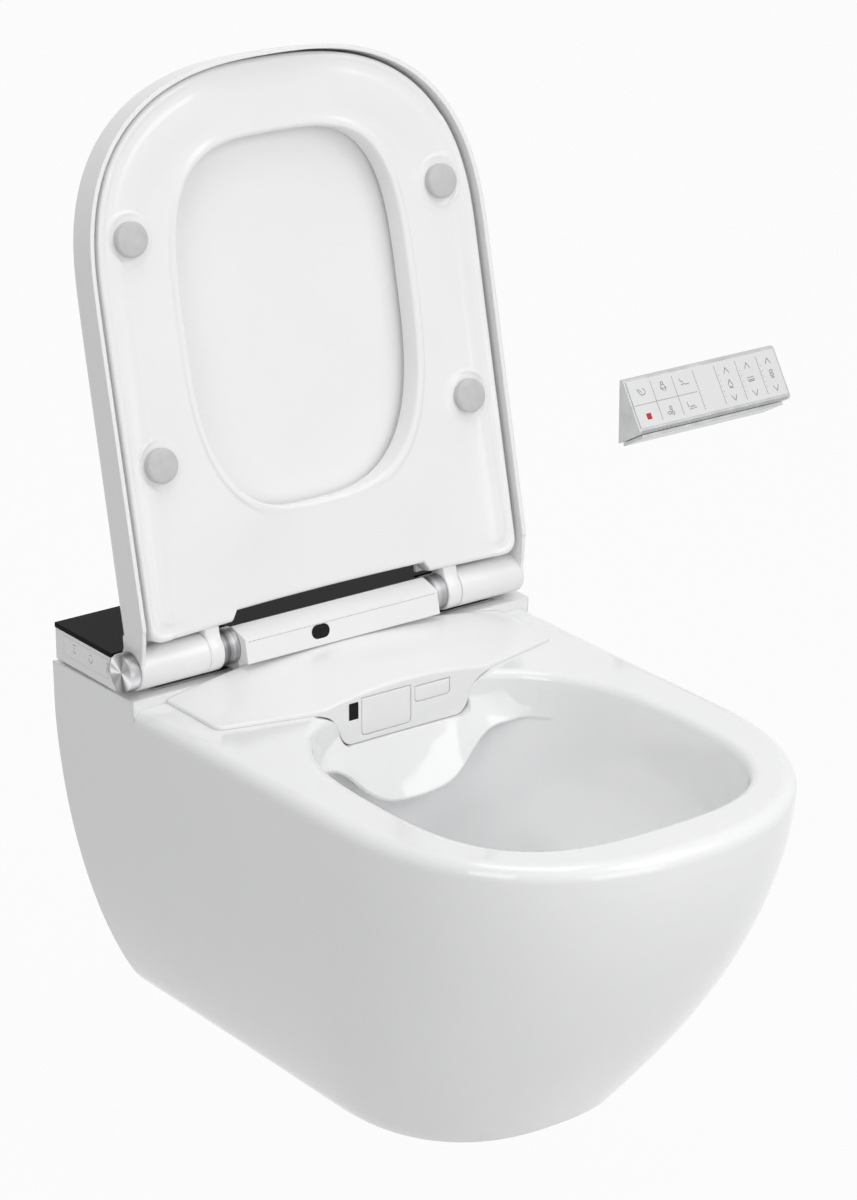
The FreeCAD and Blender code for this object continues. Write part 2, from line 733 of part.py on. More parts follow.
# --------------------------------------------------------------------- hinge line
def hinge_line():
    half = "housing_width/2 - casing_wall - 1"
    posts = []
    for side in (-1, 1):
        span = sorted((side * 68, side * (size.housing_width / 2 - size.casing_wall - 1)))
        posts.append(box("bracket_post", ((span[0], span[1]), ("-106.5", "-91.2"), (LEDGE_Z + " + 0.2", "156.5"))))
    plate = box("bracket_plate", (("-(%s)" % half, half), ("-106.5", "-91.2"), (LEDGE_Z + " + 0.2", LEDGE_Z + " + 4")))
    bores = rod("bracket_bores", "X", "shaft_radius", ("-200", "200"), (HINGE_Y, HINGE_Z))
    node(cut("hinge_bracket", fuse("bracket_whole", plate, *posts), bores))
    near = "housing_width/2"
    ring = "housing_width/2 + sleeve_width + turning_gap"
    barrel = ring + " + ring_width + turning_gap"
    end = "lid_width/2"
    for side, word in ((-1, "left"), (1, "right")):
        def span(low, high):
            ends = ("%d * (%s)" % (side, low), "%d * (%s)" % (side, high))
            return ends if side > 0 else ends[::-1]
        shaft = rod("shaft_rod_" + word, "X", "shaft_radius", span("69", end + " - 1"), (HINGE_Y, HINGE_Z))
        if side < 0:
            shaft = cut("shaft_bored", shaft, rod("spindle_bore", "X", "spindle_radius + running_gap",
                                                  span(end + " - 25", end + " + 1"), (HINGE_Y, HINGE_Z)))
        node(shaft, "hinge_shaft_" + word)
        sleeve = rod("sleeve_rod_" + word, "X", "barrel_radius - 1.5", span(near, near + " + sleeve_width"),
                     (HINGE_Y, HINGE_Z))
        node(cut("hinge_sleeve_" + word, sleeve, rod("sleeve_bore_" + word, "X", "shaft_radius + running_gap",
                                                     span("60", "200"), (HINGE_Y, HINGE_Z))))
        damper = rod("damper_rod_" + word, "X", "damper_radius", span(barrel + " + 7", end + " - 7"), (HINGE_Y, HINGE_Z))
        node(cut("soft_close_damper_" + word, damper, rod("damper_bore_" + word, "X", "shaft_radius", span("60", "200"),
                                                          (HINGE_Y, HINGE_Z))))
    disc = rod("knob_disc", "X", "knob_radius", ("-%s - 0.5 - knob_length" % end, "-%s - 0.5" % end), (HINGE_Y, HINGE_Z))
    face = rounded("knob_edged", disc, 0.8, lambda b: b.XMax < -size.lid_width / 2 - size.knob_length)
    spindle = rod("knob_spindle", "X", "spindle_radius", ("-%s - 2" % end, "-%s + 22" % end), (HINGE_Y, HINGE_Z))
    node(fuse("control_knob", face, spindle))


# ------------------------------------------------------------------- seat and lid
def open_placement():
    """From closed, round the hinge, to leaning back."""
    turn = FreeCAD.Rotation(Vector(1, 0, 0), -(90 + size.lean_angle))
    return FreeCAD.Placement(Vector(0, hinge_y, hinge_z), turn)


def sloped_top(name, at_hinge, at_front, length):
    """Everything above a plane that falls from at_hinge to at_front."""
    thing = doc.addObject("Part::Box", name)
    thing.Length = 2 * FAR
    thing.Width = 2 * FAR
    thing.Height = 100
    angle = math.degrees(math.atan2(at_hinge - at_front, length))
    turn = FreeCAD.Rotation(Vector(1, 0, 0), angle)
    corner = Vector(0, 0, at_hinge) + turn.multVec(Vector(-FAR, -FAR, 0))
    thing.Placement = FreeCAD.Placement(corner, turn)
    return thing


def seat_outline(inset):
    return front_outline(size.seat_width / 2 - inset, -19.5 - inset, -size.seat_straight, -size.seat_length + inset, 2.6)


def opening_edges(grow):
    middle = -(size.opening_front + size.opening_rear * 1.1) / 2.0
    front = size.opening_front + middle + grow
    rear = -middle - size.opening_rear + grow
    return [spline(egg(size.opening_width / 2 + grow, middle, front, rear, 3.5, 2.9), True)]


def seat_block():
    under = "-seat_underside"
    slab = padded("seat_slab", seat_outline(0.0), under, "seat_rise + 1")
    soft = rounded("seat_soft", cut("seat_sloped", slab, sloped_top("seat_top", size.seat_rise, -size.seat_fall,
                                                                    size.seat_length)), 7.0,
                   lambda b: b.YMin < -size.seat_length + 5 and b.ZMax < -size.seat_underside + 0.1)
    hole = padded("seat_hole", opening_edges(0.0), "-seat_underside - 1", "seat_rise + 2")
    notch = box("seat_notch", (("-housing_width/2 - moving_gap", "housing_width/2 + moving_gap"), ("-27", "0"),
                               ("-40", "20")))
    dome = crown("seat_over_crown", size.seat_over_cover)
    dome.Placement = FreeCAD.Placement(Vector(0, -hinge_y, -hinge_z), FreeCAD.Rotation())
    return soft, [hole, notch, dome]


def seat():
    under = "-seat_underside"
    ring = "housing_width/2 + sleeve_width + turning_gap"
    split = box("seat_split", (("-300", "300"), ("-seat_length - 10", "-19.6"), (under + " - 10", "-11")))
    hollow_blank = padded("hollow_blank", seat_outline(size.seat_wall), "-18.5", "-6")
    hollow = cut("seat_hollow", hollow_blank, padded("hollow_core", opening_edges(size.seat_wall), "-19", "-5"),
                 box("hollow_rear", (("-300", "300"), ("-112", "0"), ("-30", "20"))))
    block, tools = seat_block()
    base = cut("seat_body", block, hollow, *tools)
    arms = []
    for side in (-1, 1):
        ends = ("%d * (%s)" % (side, ring), "%d * (%s + ring_width)" % (side, ring))
        ends = ends if side > 0 else ends[::-1]
        arms.append(rod("seat_ring", "X", "barrel_radius", ends, ("0", "0")))
        arms.append(box("seat_arm", (ends, ("-24", "0"), ("-11", "seat_rise - 1"))))
    bore = rod("seat_bore", "X", "shaft_radius + running_gap", ("-200", "200"), ("0", "0"))
    upper = cut("seat_upper_shell", fuse("seat_armed", cut("seat_upper", base, split), *arms), bore)
    lower = common("seat_lower_shell", base, split)
    foil_blank = padded("foil_blank", seat_outline(size.seat_wall + 2), "-6.6", "-6")
    foil = cut("seat_heating_foil", foil_blank, padded("foil_core", opening_edges(size.seat_wall + 2), "-8", "-4"),
               box("foil_rear", (("-300", "300"), ("-115", "0"), ("-30", "20"))))
    sensor = group("seat_temperature_sensor", box("sensor_chip", (("132", "144"), ("-252", "-232"), ("-10", "-6.6"))))
    pads = []
    for side in (-1, 1):
        for reach, across in ((153.7, 146.2), (326.5, 144.8)):
            pad = rod("bumper", "Z", "bumper_radius", ("-hinge_above_rim + turning_gap", under),
                      ("%d * %s" % (side, across), "-%s" % reach))
            pads.append(rounded("bumper_soft", pad, 2.0, lambda b: b.ZMax < -size.hinge_above_rim + 0.5))
    bumpers = group("seat_bumpers", *pads)
    for piece in (upper, lower, foil, sensor, bumpers):
        piece.Placement = open_placement().multiply(piece.Placement)
        node(piece)


def lid_outline(inset):
    return front_outline(size.lid_width / 2 - inset, 0.0, -size.seat_straight, -size.lid_length + inset, 2.6)


def lid():
    wall = size.lid_wall
    fall = size.lid_rise - 3.0
    outer = padded("lid_outer", lid_outline(0.0), "-lid_lip", "lid_rise + 2")
    outer = cut("lid_sloped", outer, sloped_top("lid_top", size.lid_rise, fall * 0.5, size.lid_length))
    outer = rounded("lid_soft", outer, 7.0, lambda b: b.YMin < -size.lid_length + 5 and b.ZMin > 0)
    inner = padded("lid_inner", lid_outline(wall), "-lid_lip - 1", "lid_rise + 2")
    inner = cut("lid_inner_sloped", inner, sloped_top("lid_inner_top", size.lid_rise - wall, fall * 0.5 - wall,
                                                      size.lid_length))
    inner = rounded("lid_inner_soft", inner, 5.0, lambda b: b.YMin < -size.lid_length + wall + 5 and b.ZMin > -3)
    ring = "housing_width/2 + sleeve_width + turning_gap"
    barrel = ring + " + ring_width + turning_gap"
    notches = [
        box("lid_notch", (("-housing_width/2 - moving_gap", "housing_width/2 + moving_gap"), ("-27", "1"), ("-40", "20"))),
        box("lid_ring_notch", (("-(%s)" % barrel, barrel), ("-18", "1"), ("-40", "20"))),
        side_pad("lid_heel", ((1, -12), (-13, -12), (-34, -26.5), (1, -26.5)), "-200", "200"),
    ]
    shell = cut("lid_shell", outer, inner, *notches)
    parts = [shell]
    tools = [rod("lid_bore", "X", "shaft_radius + running_gap", ("-200", "200"), ("0", "0"))]
    for side in (-1, 1):
        def span(low, high):
            ends = ("%d * (%s)" % (side, low), "%d * (%s)" % (side, high))
            return ends if side > 0 else ends[::-1]
        parts.append(rod("lid_barrel", "X", "barrel_radius", span(barrel, "lid_width/2 - 0.7"), ("0", "0")))
        tools.append(rod("damper_room", "X", "damper_radius + turning_gap + 0.1", span(barrel + " + 6", "lid_width/2 - 6"),
                         ("0", "0")))
    whole = cut("lid", fuse("lid_whole", *parts), *tools)
    pads = []
    roof = sloped_top("lid_pad_roof", size.lid_rise - wall, fall * 0.5 - wall, size.lid_length)
    for side in (-1, 1):
        for reach in (150, 330):
            low = size.seat_rise - (size.seat_rise + size.seat_fall) * reach / size.seat_length + 0.3
            pad = rod("lid_pad_blank", "Z", "6", (low, "lid_rise"), ("%d * 140" % side, "-%d" % reach))
            pads.append(cut("lid_pad", pad, roof))
    bumpers = group("lid_bumpers", *pads)
    for piece in (whole, bumpers):
        piece.Placement = open_placement().multiply(piece.Placement)
        node(piece)


# --------------------------------------------------------------- wash and dry works
def along_arm(name, radius, start, end, lift=0.0):
    """A rod on the wash arm's sloping axis, start and end measured back from the lip."""
    slope = math.radians(size.arm_slope)
    back = Vector(0, math.cos(slope), math.sin(slope))
    origin = Vector(size.arm_x, -size.lip_front + size.flap_thickness, size.rim_height - 19.0)
    rise = Vector(0, -math.sin(slope), math.cos(slope))
    thing = doc.addObject("Part::Cylinder", name)
    bind(thing, Radius=radius)
    bind(thing, Height="(%s) - (%s)" % (end, start))
    first = origin + back * start + rise * lift
    thing.Placement = FreeCAD.Placement(first, FreeCAD.Rotation(Vector(0, 0, 1), back))
    return thing


def wash_works():
    rest = 19.0
    node(along_arm("wash_nozzle_tip", "arm_radius", rest, rest + size.tip_length))
    node(along_arm("wash_arm", "arm_radius", rest + size.tip_length, rest + size.tip_length + size.arm_length - 12))
    tube = along_arm("guide_tube", "arm_radius + 2.8", 24, 62)
    foot = box("guide_foot", (("arm_x - 9", "arm_x + 9"), ("-172", "-142"), ("trough_floor", "108")))
    node(cut("arm_guide", fuse("guide_whole", tube, foot), along_arm("guide_bore", "arm_radius + turning_gap", 0, 120)))
    pinion_z = size.rim_height - 19.0 + 74.4 * math.tan(math.radians(size.arm_slope))
    drop = size.arm_radius / math.cos(math.radians(size.arm_slope)) + size.pinion_radius + 0.4
    spot = ("-125", pinion_z - drop)
    wheel = rod("pinion_wheel", "X", "pinion_radius", ("arm_x - 5", "arm_x + 5"), spot)
    axle = rod("pinion_axle", "X", "1.5", ("arm_x - 12", "arm_x + 4"), spot)
    node(fuse("arm_pinion", wheel, axle))
    motor = rod("motor_can", "X", "6", ("-44", "arm_x - 6"), spot)
    node(cut("arm_motor", motor, rod("motor_bore", "X", "1.5 + running_gap", ("arm_x - 13", "arm_x"), spot)))


def dry_works():
    spot = ("42", "-56")
    low = "102"
    case = rod("scroll", "Z", "fan_radius", (low, "128"), spot)
    outlet = box("scroll_outlet", (("11", "43"), ("-96", "-56"), ("107.5", "123.5")))
    room = rod("scroll_room", "Z", "fan_radius - 2", ("104", "126"), spot)
    throat = box("scroll_throat", (("12.5", "41.5"), ("-97", "-56"), ("109", "122")))
    inlet = rod("scroll_inlet", "Z", "13", ("120", "130"), spot)
    shaft_hole = rod("fan_shaft_hole", "Z", "2 + running_gap", ("100", "106"), spot)
    node(cut("fan_housing", fuse("scroll_whole", case, outlet), room, throat, inlet, shaft_hole))
    wheel = rod("impeller_rim", "Z", "impeller_radius", ("107", "123"), spot)
    eye = rod("impeller_eye", "Z", "impeller_radius - 5", ("109", "124"), spot)
    blades = [cut("impeller_cup", wheel, eye)]
    for i in range(8):
        blade = doc.addObject("Part::Box", "impeller_blade")
        blade.Length = size.impeller_radius - 3
        blade.Width = 1.2
        blade.Height = 12
        blade.Placement = FreeCAD.Placement(Vector(42, -56, 108.5), FreeCAD.Rotation(Vector(0, 0, 1), 45 * i))
        blades.append(blade)
    hub = rod("impeller_hub", "Z", "6", ("107", "122"), spot)
    axle = rod("impeller_axle", "Z", "2", ("97", "110"), spot)
    node(fuse("fan_impeller", *blades, hub, axle))
    motor = rod("fan_motor_can", "Z", "14", ("rim_height + ledge_rise - recess_depth + 2", low), spot)
    node(cut("fan_motor", motor, rod("fan_motor_bore", "Z", "2 + running_gap", ("96", "103"), spot)))
    duct = box("duct_outer", (("11", "43"), ("-lip_front + lip_thickness + 0.1", "-96.1"), ("107.5", "123.5")))
    bore = box("duct_inner", (("12.5", "41.5"), ("-lip_front", "-90"), ("109", "122")))
    node(cut("dryer_duct", duct, bore))


def water_works():
    floor = "rim_height + ledge_rise - recess_depth + 2"
    tank = box("tank", (("-155", "-80"), ("-90", "-24"), (floor, "126")))
    node(rounded("water_heater", tank, 6.0, lambda b: b.ZLength > 20))
    body = rod("pump_body", "X", "17", ("88", "150"), ("-68", "94"))
    foot = box("pump_foot", (("95", "143"), ("-80", "-56"), (floor, "90")))
    pump = fuse("water_pump", body, foot)
    node(pump)
    block = box("valve_block", (("96", "126"), ("-44", "-22"), (floor, "98")))
    coil = rod("valve_coil", "Z", "9", ("98", "111"), ("111", "-33"))
    node(fuse("solenoid_valve", block, coil))
    cold = rod("cold_hose", "X", "4", ("-52", "96"), ("-30", "84"))
    warm = rod("pump_hose", "X", "4", ("-80", "88"), ("-80", "84"))
    link = cut("link_hose_trimmed", rod("link_hose", "Y", "3", ("-60", "-44"), ("120", "84")), pump)
    node(group("water_hoses", cold, warm, link))
    stem = rod("inlet_stem", "Y", "8", ("-38", "0"), ("-60", "102"))
    nut = rod("inlet_nut", "Y", "13", ("-22", "-15"), ("-60", "102"))
    elbow = box("inlet_elbow", (("-68", "-52"), ("-38", "-22"), ("78", "110")))
    bore = rod("inlet_bore", "Y", "5", ("-30", "1"), ("-60", "102"))
    node(cut("water_inlet", fuse("inlet_whole", stem, nut, elbow), bore))


def electric_works():
    gland = rod("gland_stem", "Y", "9", ("-24", "0"), ("60", "102"))
    nut = rod("gland_nut", "Y", "12", ("-22", "-15"), ("60", "102"))
    bore = rod("gland_bore", "Y", "4", ("-25", "1"), ("60", "102"))
    node(cut("mains_gland", fuse("gland_whole", gland, nut), bore))
    node(box("power_supply", (("88", "recess_width/2 - 3.3"), ("-91", "-20"), ("111.3", "128"))))
    board = box("board", (("-168", "168"), ("-74", "-12"), (CASING_Z + " + 3", CASING_Z + " + 4.6")))
    chips = [box("chip", ((x, x + wide), (y, y + deep), (CASING_Z + " + 4.6", CASING_Z + " + %s" % tall)))
             for x, wide, y, deep, tall in ((-130, 30, -60, 20, 9), (-70, 14, -52, 14, 7), (-20, 40, -66, 16, 14),
                                            (60, 18, -60, 18, 12), (100, 34, -62, 24, 8))]
    feet = [box("board_foot", ((low, low + 4), ("-74", "-12"), (CASING_Z, CASING_Z + " + 3"))) for low in (-168, 164)]
    node(fuse("control_board", board, *chips, *feet))


def wall_sleeves():
    parts = []
    for side in (-1, 1):
        spot = ("%d * stud_spacing/2" % side, "0")
        tube = rod("sleeve_tube", "Y", "sleeve_radius", ("-skin", "0"), spot)
        collar = rod("sleeve_collar", "Y", "sleeve_radius + 5", ("-skin - 3", "-skin"), spot)
        bore = rod("sleeve_bore", "Y", "stud_hole_radius", ("-skin - 4", "1"), spot)
        parts.append(cut("sleeve", fuse("sleeve_whole", tube, collar), bore))
    node(group("stud_sleeves", *parts))


# ----------------------------------------------------------------- remote control
def remote_profile():
    """Side view of the remote control, as (y, z) corners."""
    top = size.remote_top
    back = -size.dock_thickness - 0.3
    low = top - size.remote_height
    nose = -size.remote_depth
    return ((back, top), (back - 4, top), (nose, low + 18.5), (nose + 1.5, low + 15), (back, low))


def remote():
    x = "remote_x"
    far = "remote_x + remote_length"
    outer = side_pad("remote_outer", remote_profile(), x, far)
    room = drawn_in(remote_profile(), size.remote_wall)
    inner = side_pad("remote_inner", room, x + " + remote_wall", far + " - remote_wall")
    node(cut("remote_shell", outer, inner))
    high = Vector(0, *remote_profile()[1])
    low = Vector(0, *remote_profile()[2])
    down = (low - high).normalize()
    out = Vector(0, down.z, -down.y)

    def layer(name, start, end, near, thick, side):
        """A flat plate that follows the sloping face."""
        corners = [high + down * start + out * near, low - down * end + out * near,
                   low - down * end + out * (near + thick), high + down * start + out * (near + thick)]
        return side_pad(name, [(p.y, p.z) for p in corners], x + side, far + " -" + side[2:])

    node(layer("remote_face", 2, 2, 0, 0.8, " + 2"))
    node(layer("remote_board", 6, 8, -size.remote_wall - 1.4, 1.4, " + 8"))
    cell = -size.dock_thickness - 0.3 - size.remote_wall - 5.0
    node(rod("remote_battery", "X", "5", (x + " + 50", x + " + 94"), (cell, size.remote_top - 36)))
    plate = box("dock_plate", ((x + " + 12", far + " - 12"), ("-dock_thickness", "0"),
                               ("remote_top - remote_height - 3", "remote_top - 8")))
    heel = Vector(*remote_profile()[4], 0)
    toe = Vector(*remote_profile()[3], 0)
    along = (toe - heel).normalize()
    below = Vector(-along.y, along.x, 0) * (1 if along.x > 0 else -1)
    if below.y > 0:
        below = below * -1
    start = heel - along * 1.5
    end = toe - along * 3
    shelf = side_pad("dock_shelf", [(p.x, p.y) for p in (start + below * 0.3, end + below * 0.3, end + below * 3.3,
                                                         start + below * 3.3)], x + " + 6", far + " - 6")
    node(fuse("remote_dock", plate, shelf))


ceramic_pan()
nozzle_cover()
flap("nozzle_flap", "flap_x", "flap_width", "(rim_height + 4.9)", "flap_height", 1.8, 1.8)
flap("dryer_flap", "dryer_x", "dryer_width", "(rim_height + 1.9)", "dryer_height", 1.0, 1.8)
base_tray()
technical_box()
sensor_housing()
hinge_line()
seat()
lid()
wash_works()
dry_works()
water_works()
electric_works()
wall_sleeves()
remote()

doc.recompute()
faults = [item.Name for item in doc.Objects if {"Invalid", "Error"} & set(item.State)]
for piece in nodes:
    if piece.Shape.isNull() or not piece.Shape.isValid() or not piece.Shape.Solids:
        faults.append(piece.Label + " shape")
if faults:
    raise RuntimeError("failed: " + ", ".join(faults))

os.makedirs("parts", exist_ok=True)
for piece in nodes:
    piece.Shape.exportStep("parts/%s.step" % piece.Label)
    spot = piece.Shape.BoundBox
    print(piece.Label, len(piece.Shape.Solids), round(piece.Shape.Volume / 1000.0, 2),
          [round(v, 1) for v in (spot.XMin, spot.XMax, spot.YMin, spot.YMax, spot.ZMin, spot.ZMax)])
print(len(nodes), "nodes")
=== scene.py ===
import json
import math

import bpy
import bmesh
from mathutils import Matrix, Vector
from mathutils.geometry import tessellate_polygon


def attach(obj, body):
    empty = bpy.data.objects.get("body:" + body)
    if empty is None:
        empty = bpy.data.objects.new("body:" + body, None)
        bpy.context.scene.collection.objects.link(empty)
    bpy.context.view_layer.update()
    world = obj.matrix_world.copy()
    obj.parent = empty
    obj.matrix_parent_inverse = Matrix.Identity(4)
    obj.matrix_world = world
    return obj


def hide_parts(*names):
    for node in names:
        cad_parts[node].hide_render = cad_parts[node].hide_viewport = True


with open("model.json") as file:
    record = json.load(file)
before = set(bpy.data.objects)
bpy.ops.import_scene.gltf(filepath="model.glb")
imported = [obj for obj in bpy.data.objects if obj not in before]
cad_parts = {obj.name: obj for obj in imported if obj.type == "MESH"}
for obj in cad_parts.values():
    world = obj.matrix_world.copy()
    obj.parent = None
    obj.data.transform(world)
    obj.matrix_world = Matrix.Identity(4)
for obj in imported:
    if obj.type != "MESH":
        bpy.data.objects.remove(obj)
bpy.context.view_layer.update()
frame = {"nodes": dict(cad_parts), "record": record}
scene = bpy.context.scene

MM = 0.001
PHOTO_WIDTH, PHOTO_HEIGHT = 857, 1200
SENSOR = 36.0
HINGE = Vector((0, -97.5, 152.4))  # a place on the hinge line, in millimetres
LEAN = 12.3  # degrees that the open lid leans past upright


# ------------------------------------------------------------------------ camera
def aimed(place, target):
    """A matrix that stands at one place and looks at another."""
    turn = (target - place).to_track_quat("-Z", "Y").to_matrix().to_4x4()
    return Matrix.Translation(place) @ turn


def make_camera():
    data = bpy.data.cameras.new("camera")
    data.sensor_fit = "VERTICAL"
    data.sensor_height = SENSOR
    data.sensor_width = SENSOR * PHOTO_WIDTH / PHOTO_HEIGHT
    data.lens = 118.72
    data.clip_end = 100.0
    camera = bpy.data.objects.new("camera", data)
    place = Vector((-1.6683, -2.4942, 1.2808))
    target = Vector((0.0030, -0.2274, 0.2078))
    camera.matrix_world = aimed(place, target)
    scene.collection.objects.link(camera)
    scene.camera = camera


# ----------------------------------------------------------------------- shaders
def new_material(name):
    material = bpy.data.materials.new(name)
    material.use_nodes = True
    tree = material.node_tree
    tree.nodes.clear()
    out = tree.nodes.new("ShaderNodeOutputMaterial")
    shader = tree.nodes.new("ShaderNodeBsdfPrincipled")
    tree.links.new(shader.outputs["BSDF"], out.inputs["Surface"])
    return material, tree, shader


def noise(tree, scale, detail=2.0, stretch=(1, 1, 1)):
    where = tree.nodes.new("ShaderNodeTexCoord")
    mapping = tree.nodes.new("ShaderNodeMapping")
    mapping.inputs["Scale"].default_value = stretch
    texture = tree.nodes.new("ShaderNodeTexNoise")
    texture.inputs["Scale"].default_value = scale
    texture.inputs["Detail"].default_value = detail
    tree.links.new(where.outputs["Object"], mapping.inputs["Vector"])
    tree.links.new(mapping.outputs["Vector"], texture.inputs["Vector"])
    return texture


def spread(tree, source, low, high):
    """A noise value moved from its middle band to the range low..high."""
    ranged = tree.nodes.new("ShaderNodeMapRange")
    ranged.inputs["From Min"].default_value = 0.3
    ranged.inputs["From Max"].default_value = 0.7
    ranged.inputs["To Min"].default_value = low
    ranged.inputs["To Max"].default_value = high
    tree.links.new(source, ranged.inputs["Value"])
    return ranged.outputs["Result"]


def tinted(tree, source, first, second):
    ramp = tree.nodes.new("ShaderNodeValToRGB")
    ramp.color_ramp.elements[0].position = 0.3
    ramp.color_ramp.elements[0].color = (*first, 1)
    ramp.color_ramp.elements[1].position = 0.7
    ramp.color_ramp.elements[1].color = (*second, 1)
    tree.links.new(source, ramp.inputs["Fac"])
    return ramp.outputs["Color"]


def math_node(tree, operation, *values):
    """A maths node fed by sockets or plain numbers."""
    node = tree.nodes.new("ShaderNodeMath")
    node.operation = operation
    for socket, value in zip(node.inputs, values):
        if isinstance(value, (int, float)):
            socket.default_value = value
        else:
            tree.links.new(value, socket)
    return node.outputs[0]


def surface(name, first, second, rough, metallic=0.0, scale=40.0, bump=(), edge=0.0,
            stretch=(1, 1, 1), coat=0.0, specular=0.5):
    """A finish with slight colour and gloss variation, fine bumps and softened edges."""
    material, tree, shader = new_material(name)
    cloud = noise(tree, scale, 3.0, stretch)
    tree.links.new(tinted(tree, cloud.outputs["Fac"], first, second), shader.inputs["Base Color"])
    tree.links.new(spread(tree, cloud.outputs["Fac"], *rough), shader.inputs["Roughness"])
    shader.inputs["Metallic"].default_value = metallic
    shader.inputs["Specular IOR Level"].default_value = specular
    if coat:
        shader.inputs["Coat Weight"].default_value = coat
        shader.inputs["Coat Roughness"].default_value = 0.03
    normal = None
    if edge:
        soft = tree.nodes.new("ShaderNodeBevel")
        soft.samples = 6
        soft.inputs["Radius"].default_value = edge
        normal = soft.outputs["Normal"]
    for size, height, pull in bump:
        grain = noise(tree, size, 2.0, pull)
        lift = tree.nodes.new("ShaderNodeBump")
        lift.inputs["Strength"].default_value = 1.0
        lift.inputs["Distance"].default_value = height
        tree.links.new(grain.outputs["Fac"], lift.inputs["Height"])
        if normal:
            tree.links.new(normal, lift.inputs["Normal"])
        normal = lift.outputs["Normal"]
    if normal:
        tree.links.new(normal, shader.inputs["Normal"])
    return material


EVEN = (1, 1, 1)
ceramic = surface("glazed_ceramic", (0.865, 0.868, 0.872), (0.88, 0.883, 0.887), (0.05, 0.09), scale=6.0,
                  bump=((9.0, 0.0004, EVEN), (160.0, 0.00001, EVEN)), edge=0.0025, coat=0.3)
white = surface("white_plastic", (0.87, 0.87, 0.873), (0.885, 0.885, 0.888), (0.16, 0.24), scale=14.0,
                bump=((420.0, 0.000012, EVEN),), edge=0.0012)
satin = surface("satin_plastic", (0.70, 0.705, 0.71), (0.73, 0.735, 0.74), (0.38, 0.5), scale=30.0,
                bump=((900.0, 0.00003, EVEN),), edge=0.0008)
black_glass = surface("black_glass", (0.006, 0.006, 0.007), (0.009, 0.009, 0.010), (0.03, 0.06), scale=9.0,
                      bump=((30.0, 0.00001, EVEN),), edge=0.0006, specular=0.02)
black = surface("black_plastic", (0.010, 0.010, 0.011), (0.016, 0.016, 0.017), (0.10, 0.2), scale=60.0,
                bump=((500.0, 0.00001, EVEN),), edge=0.0004, specular=0.12)
# Painted reflections: the sleeves' base colour swings from dark to bright in rings along the hinge line,
# standing in for the surroundings that turned metal reflects.
turned = surface("metal_with_painted_bands", (0.14, 0.14, 0.145), (0.72, 0.72, 0.73), (0.40, 0.48), metallic=1.0,
                 scale=5.0, bump=((60.0, 0.00001, (30, 1, 1)),), edge=0.0004, stretch=(30, 0.3, 0.3))
steel = surface("plain_steel", (0.45, 0.45, 0.46), (0.55, 0.55, 0.56), (0.28, 0.4), metallic=1.0, scale=50.0,
                bump=((300.0, 0.00002, EVEN),), edge=0.0004)
rubber = surface("grey_rubber", (0.53, 0.53, 0.535), (0.58, 0.58, 0.585), (0.42, 0.52), scale=120.0,
                 bump=((700.0, 0.00002, EVEN),), edge=0.0008)
dark_rubber = surface("dark_rubber", (0.02, 0.02, 0.021), (0.035, 0.035, 0.036), (0.5, 0.65), scale=90.0,
                      bump=((600.0, 0.00003, EVEN),))
silver = surface("silver_plastic", (0.52, 0.525, 0.53), (0.60, 0.605, 0.61), (0.20, 0.3), metallic=0.85,
                 scale=60.0, bump=((900.0, 0.00001, EVEN),), edge=0.0006)
grey = surface("grey_plastic", (0.10, 0.105, 0.11), (0.13, 0.135, 0.14), (0.4, 0.55), scale=50.0,
               bump=((800.0, 0.00003, EVEN),), edge=0.0006)
circuit = surface("circuit", (0.01, 0.07, 0.03), (0.015, 0.11, 0.045), (0.3, 0.45), scale=240.0,
                  bump=((400.0, 0.00004, EVEN),))
foil = surface("copper_foil", (0.55, 0.30, 0.16), (0.70, 0.40, 0.24), (0.25, 0.4), metallic=1.0, scale=80.0,
               bump=((260.0, 0.00003, EVEN),))
cell = surface("battery_sleeve", (0.03, 0.03, 0.035), (0.05, 0.05, 0.055), (0.25, 0.35), metallic=0.4,
               scale=70.0, bump=((500.0, 0.00001, EVEN),))
face_white = surface("key_face", (0.75, 0.75, 0.755), (0.765, 0.765, 0.77), (0.3, 0.4), scale=30.0,
                     bump=((900.0, 0.00001, EVEN),))
ink = surface("printed_grey", (0.04, 0.04, 0.042), (0.07, 0.07, 0.072), (0.5, 0.6), scale=300.0)
pale_ink = surface("printed_pale", (0.30, 0.30, 0.305), (0.36, 0.36, 0.365), (0.5, 0.6), scale=300.0)
red_ink = surface("printed_red", (0.50, 0.012, 0.018), (0.58, 0.018, 0.024), (0.4, 0.5), scale=300.0)

# Painted reflection: how bright the knob metal's colour is at each degree round the hinge line, standing in
# for the bright and dark sectors that spun metal reflects.
PAINTED_GLINT_STOPS = ((0, 0.75), (12, 0.5), (31, 0.95), (55, 0.5), (78, 0.3), (100, 0.16), (122, 0.42),
              (150, 0.3), (175, 0.55), (196, 0.95), (214, 0.75), (232, 0.3), (250, 0.09), (270, 0.25),
              (292, 0.45), (315, 0.3), (338, 0.45), (351, 0.92), (360, 0.75))


